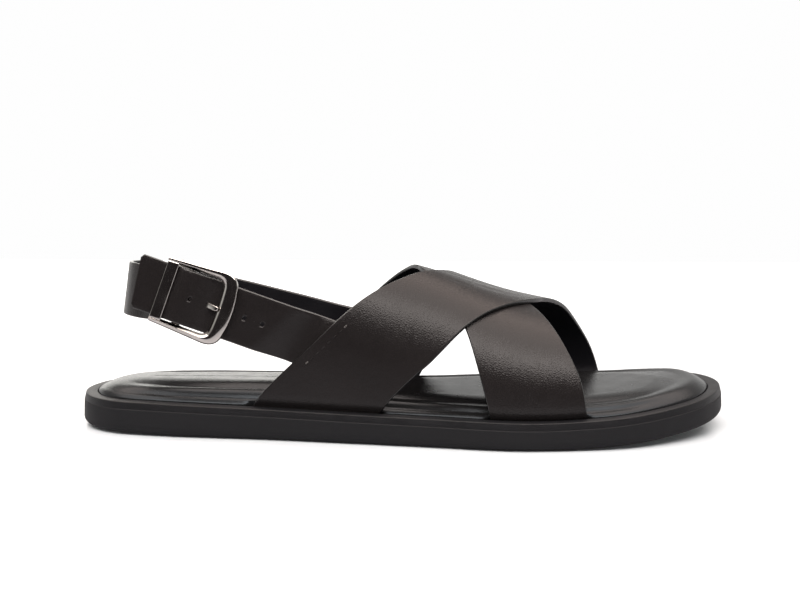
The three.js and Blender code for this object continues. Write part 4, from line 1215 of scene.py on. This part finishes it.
class SANDAL_OT_footbed(bpy.types.Operator):
    """Makes the padded footbed"""

    bl_idname = "sandal.footbed"
    bl_label = "Footbed"

    def execute(self, context):
        make_footbed()
        return {"FINISHED"}


class SANDAL_OT_cross_straps(bpy.types.Operator):
    """Makes the two straps that cross over the instep"""

    bl_idname = "sandal.cross_straps"
    bl_label = "Cross straps"

    def execute(self, context):
        make_cross_strap("cross_strap_under", UNDER_STRAP, 0)
        make_cross_strap("cross_strap_over", OVER_STRAP, OVER_LIFT, OVER_CREASES)
        return {"FINISHED"}


class SANDAL_OT_heel_straps(bpy.types.Operator):
    """Makes the heel strap with its fold and the billet with its holes"""

    bl_idname = "sandal.heel_straps"
    bl_label = "Heel strap and billet"

    def execute(self, context):
        make_heel_strap()
        make_billet()
        return {"FINISHED"}


class SANDAL_OT_buckle(bpy.types.Operator):
    """Makes the buckle's frame and its prong"""

    bl_idname = "sandal.buckle"
    bl_label = "Buckle"

    def execute(self, context):
        make_buckle_frame()
        make_prong()
        return {"FINISHED"}


class SANDAL_OT_seams(bpy.types.Operator):
    """Sews the straps with rows of stitches"""

    bl_idname = "sandal.seams"
    bl_label = "Seams"

    def execute(self, context):
        seam_on_strap("seam_billet", OVER_STRAP, OVER_LIFT, (-0.66, -0.845))
        seam_on_strap("seam_heel_strap", UNDER_STRAP, 0, (0.68, 0.88))
        return {"FINISHED"}


OPERATORS = (
    SANDAL_OT_stage,
    SANDAL_OT_sole,
    SANDAL_OT_footbed,
    SANDAL_OT_cross_straps,
    SANDAL_OT_heel_straps,
    SANDAL_OT_buckle,
    SANDAL_OT_seams,
)


class SANDAL_PT_panel(bpy.types.Panel):
    """Lists the sandal's sizes, colours and steps"""

    bl_idname = "SANDAL_PT_panel"
    bl_label = "Sandal"
    bl_space_type = "VIEW_3D"
    bl_region_type = "UI"
    bl_category = "Sandal"

    def draw(self, context):
        layout = self.layout
        for name in SandalSettings.__annotations__:
            layout.prop(context.scene.sandal, name)
        for operator in OPERATORS:
            layout.operator(operator.bl_idname)


def register():
    for item in (SandalSettings, *OPERATORS, SANDAL_PT_panel):
        bpy.utils.register_class(item)
    bpy.types.Scene.sandal = bpy.props.PointerProperty(type=SandalSettings)


def unregister():
    del bpy.types.Scene.sandal
    for item in (SANDAL_PT_panel, *reversed(OPERATORS), SandalSettings):
        bpy.utils.unregister_class(item)


def main():
    register()
    for step in ("stage", "sole", "footbed", "cross_straps", "heel_straps", "buckle", "seams"):
        getattr(bpy.ops.sandal, step)()


if __name__ == "__main__":
    main()
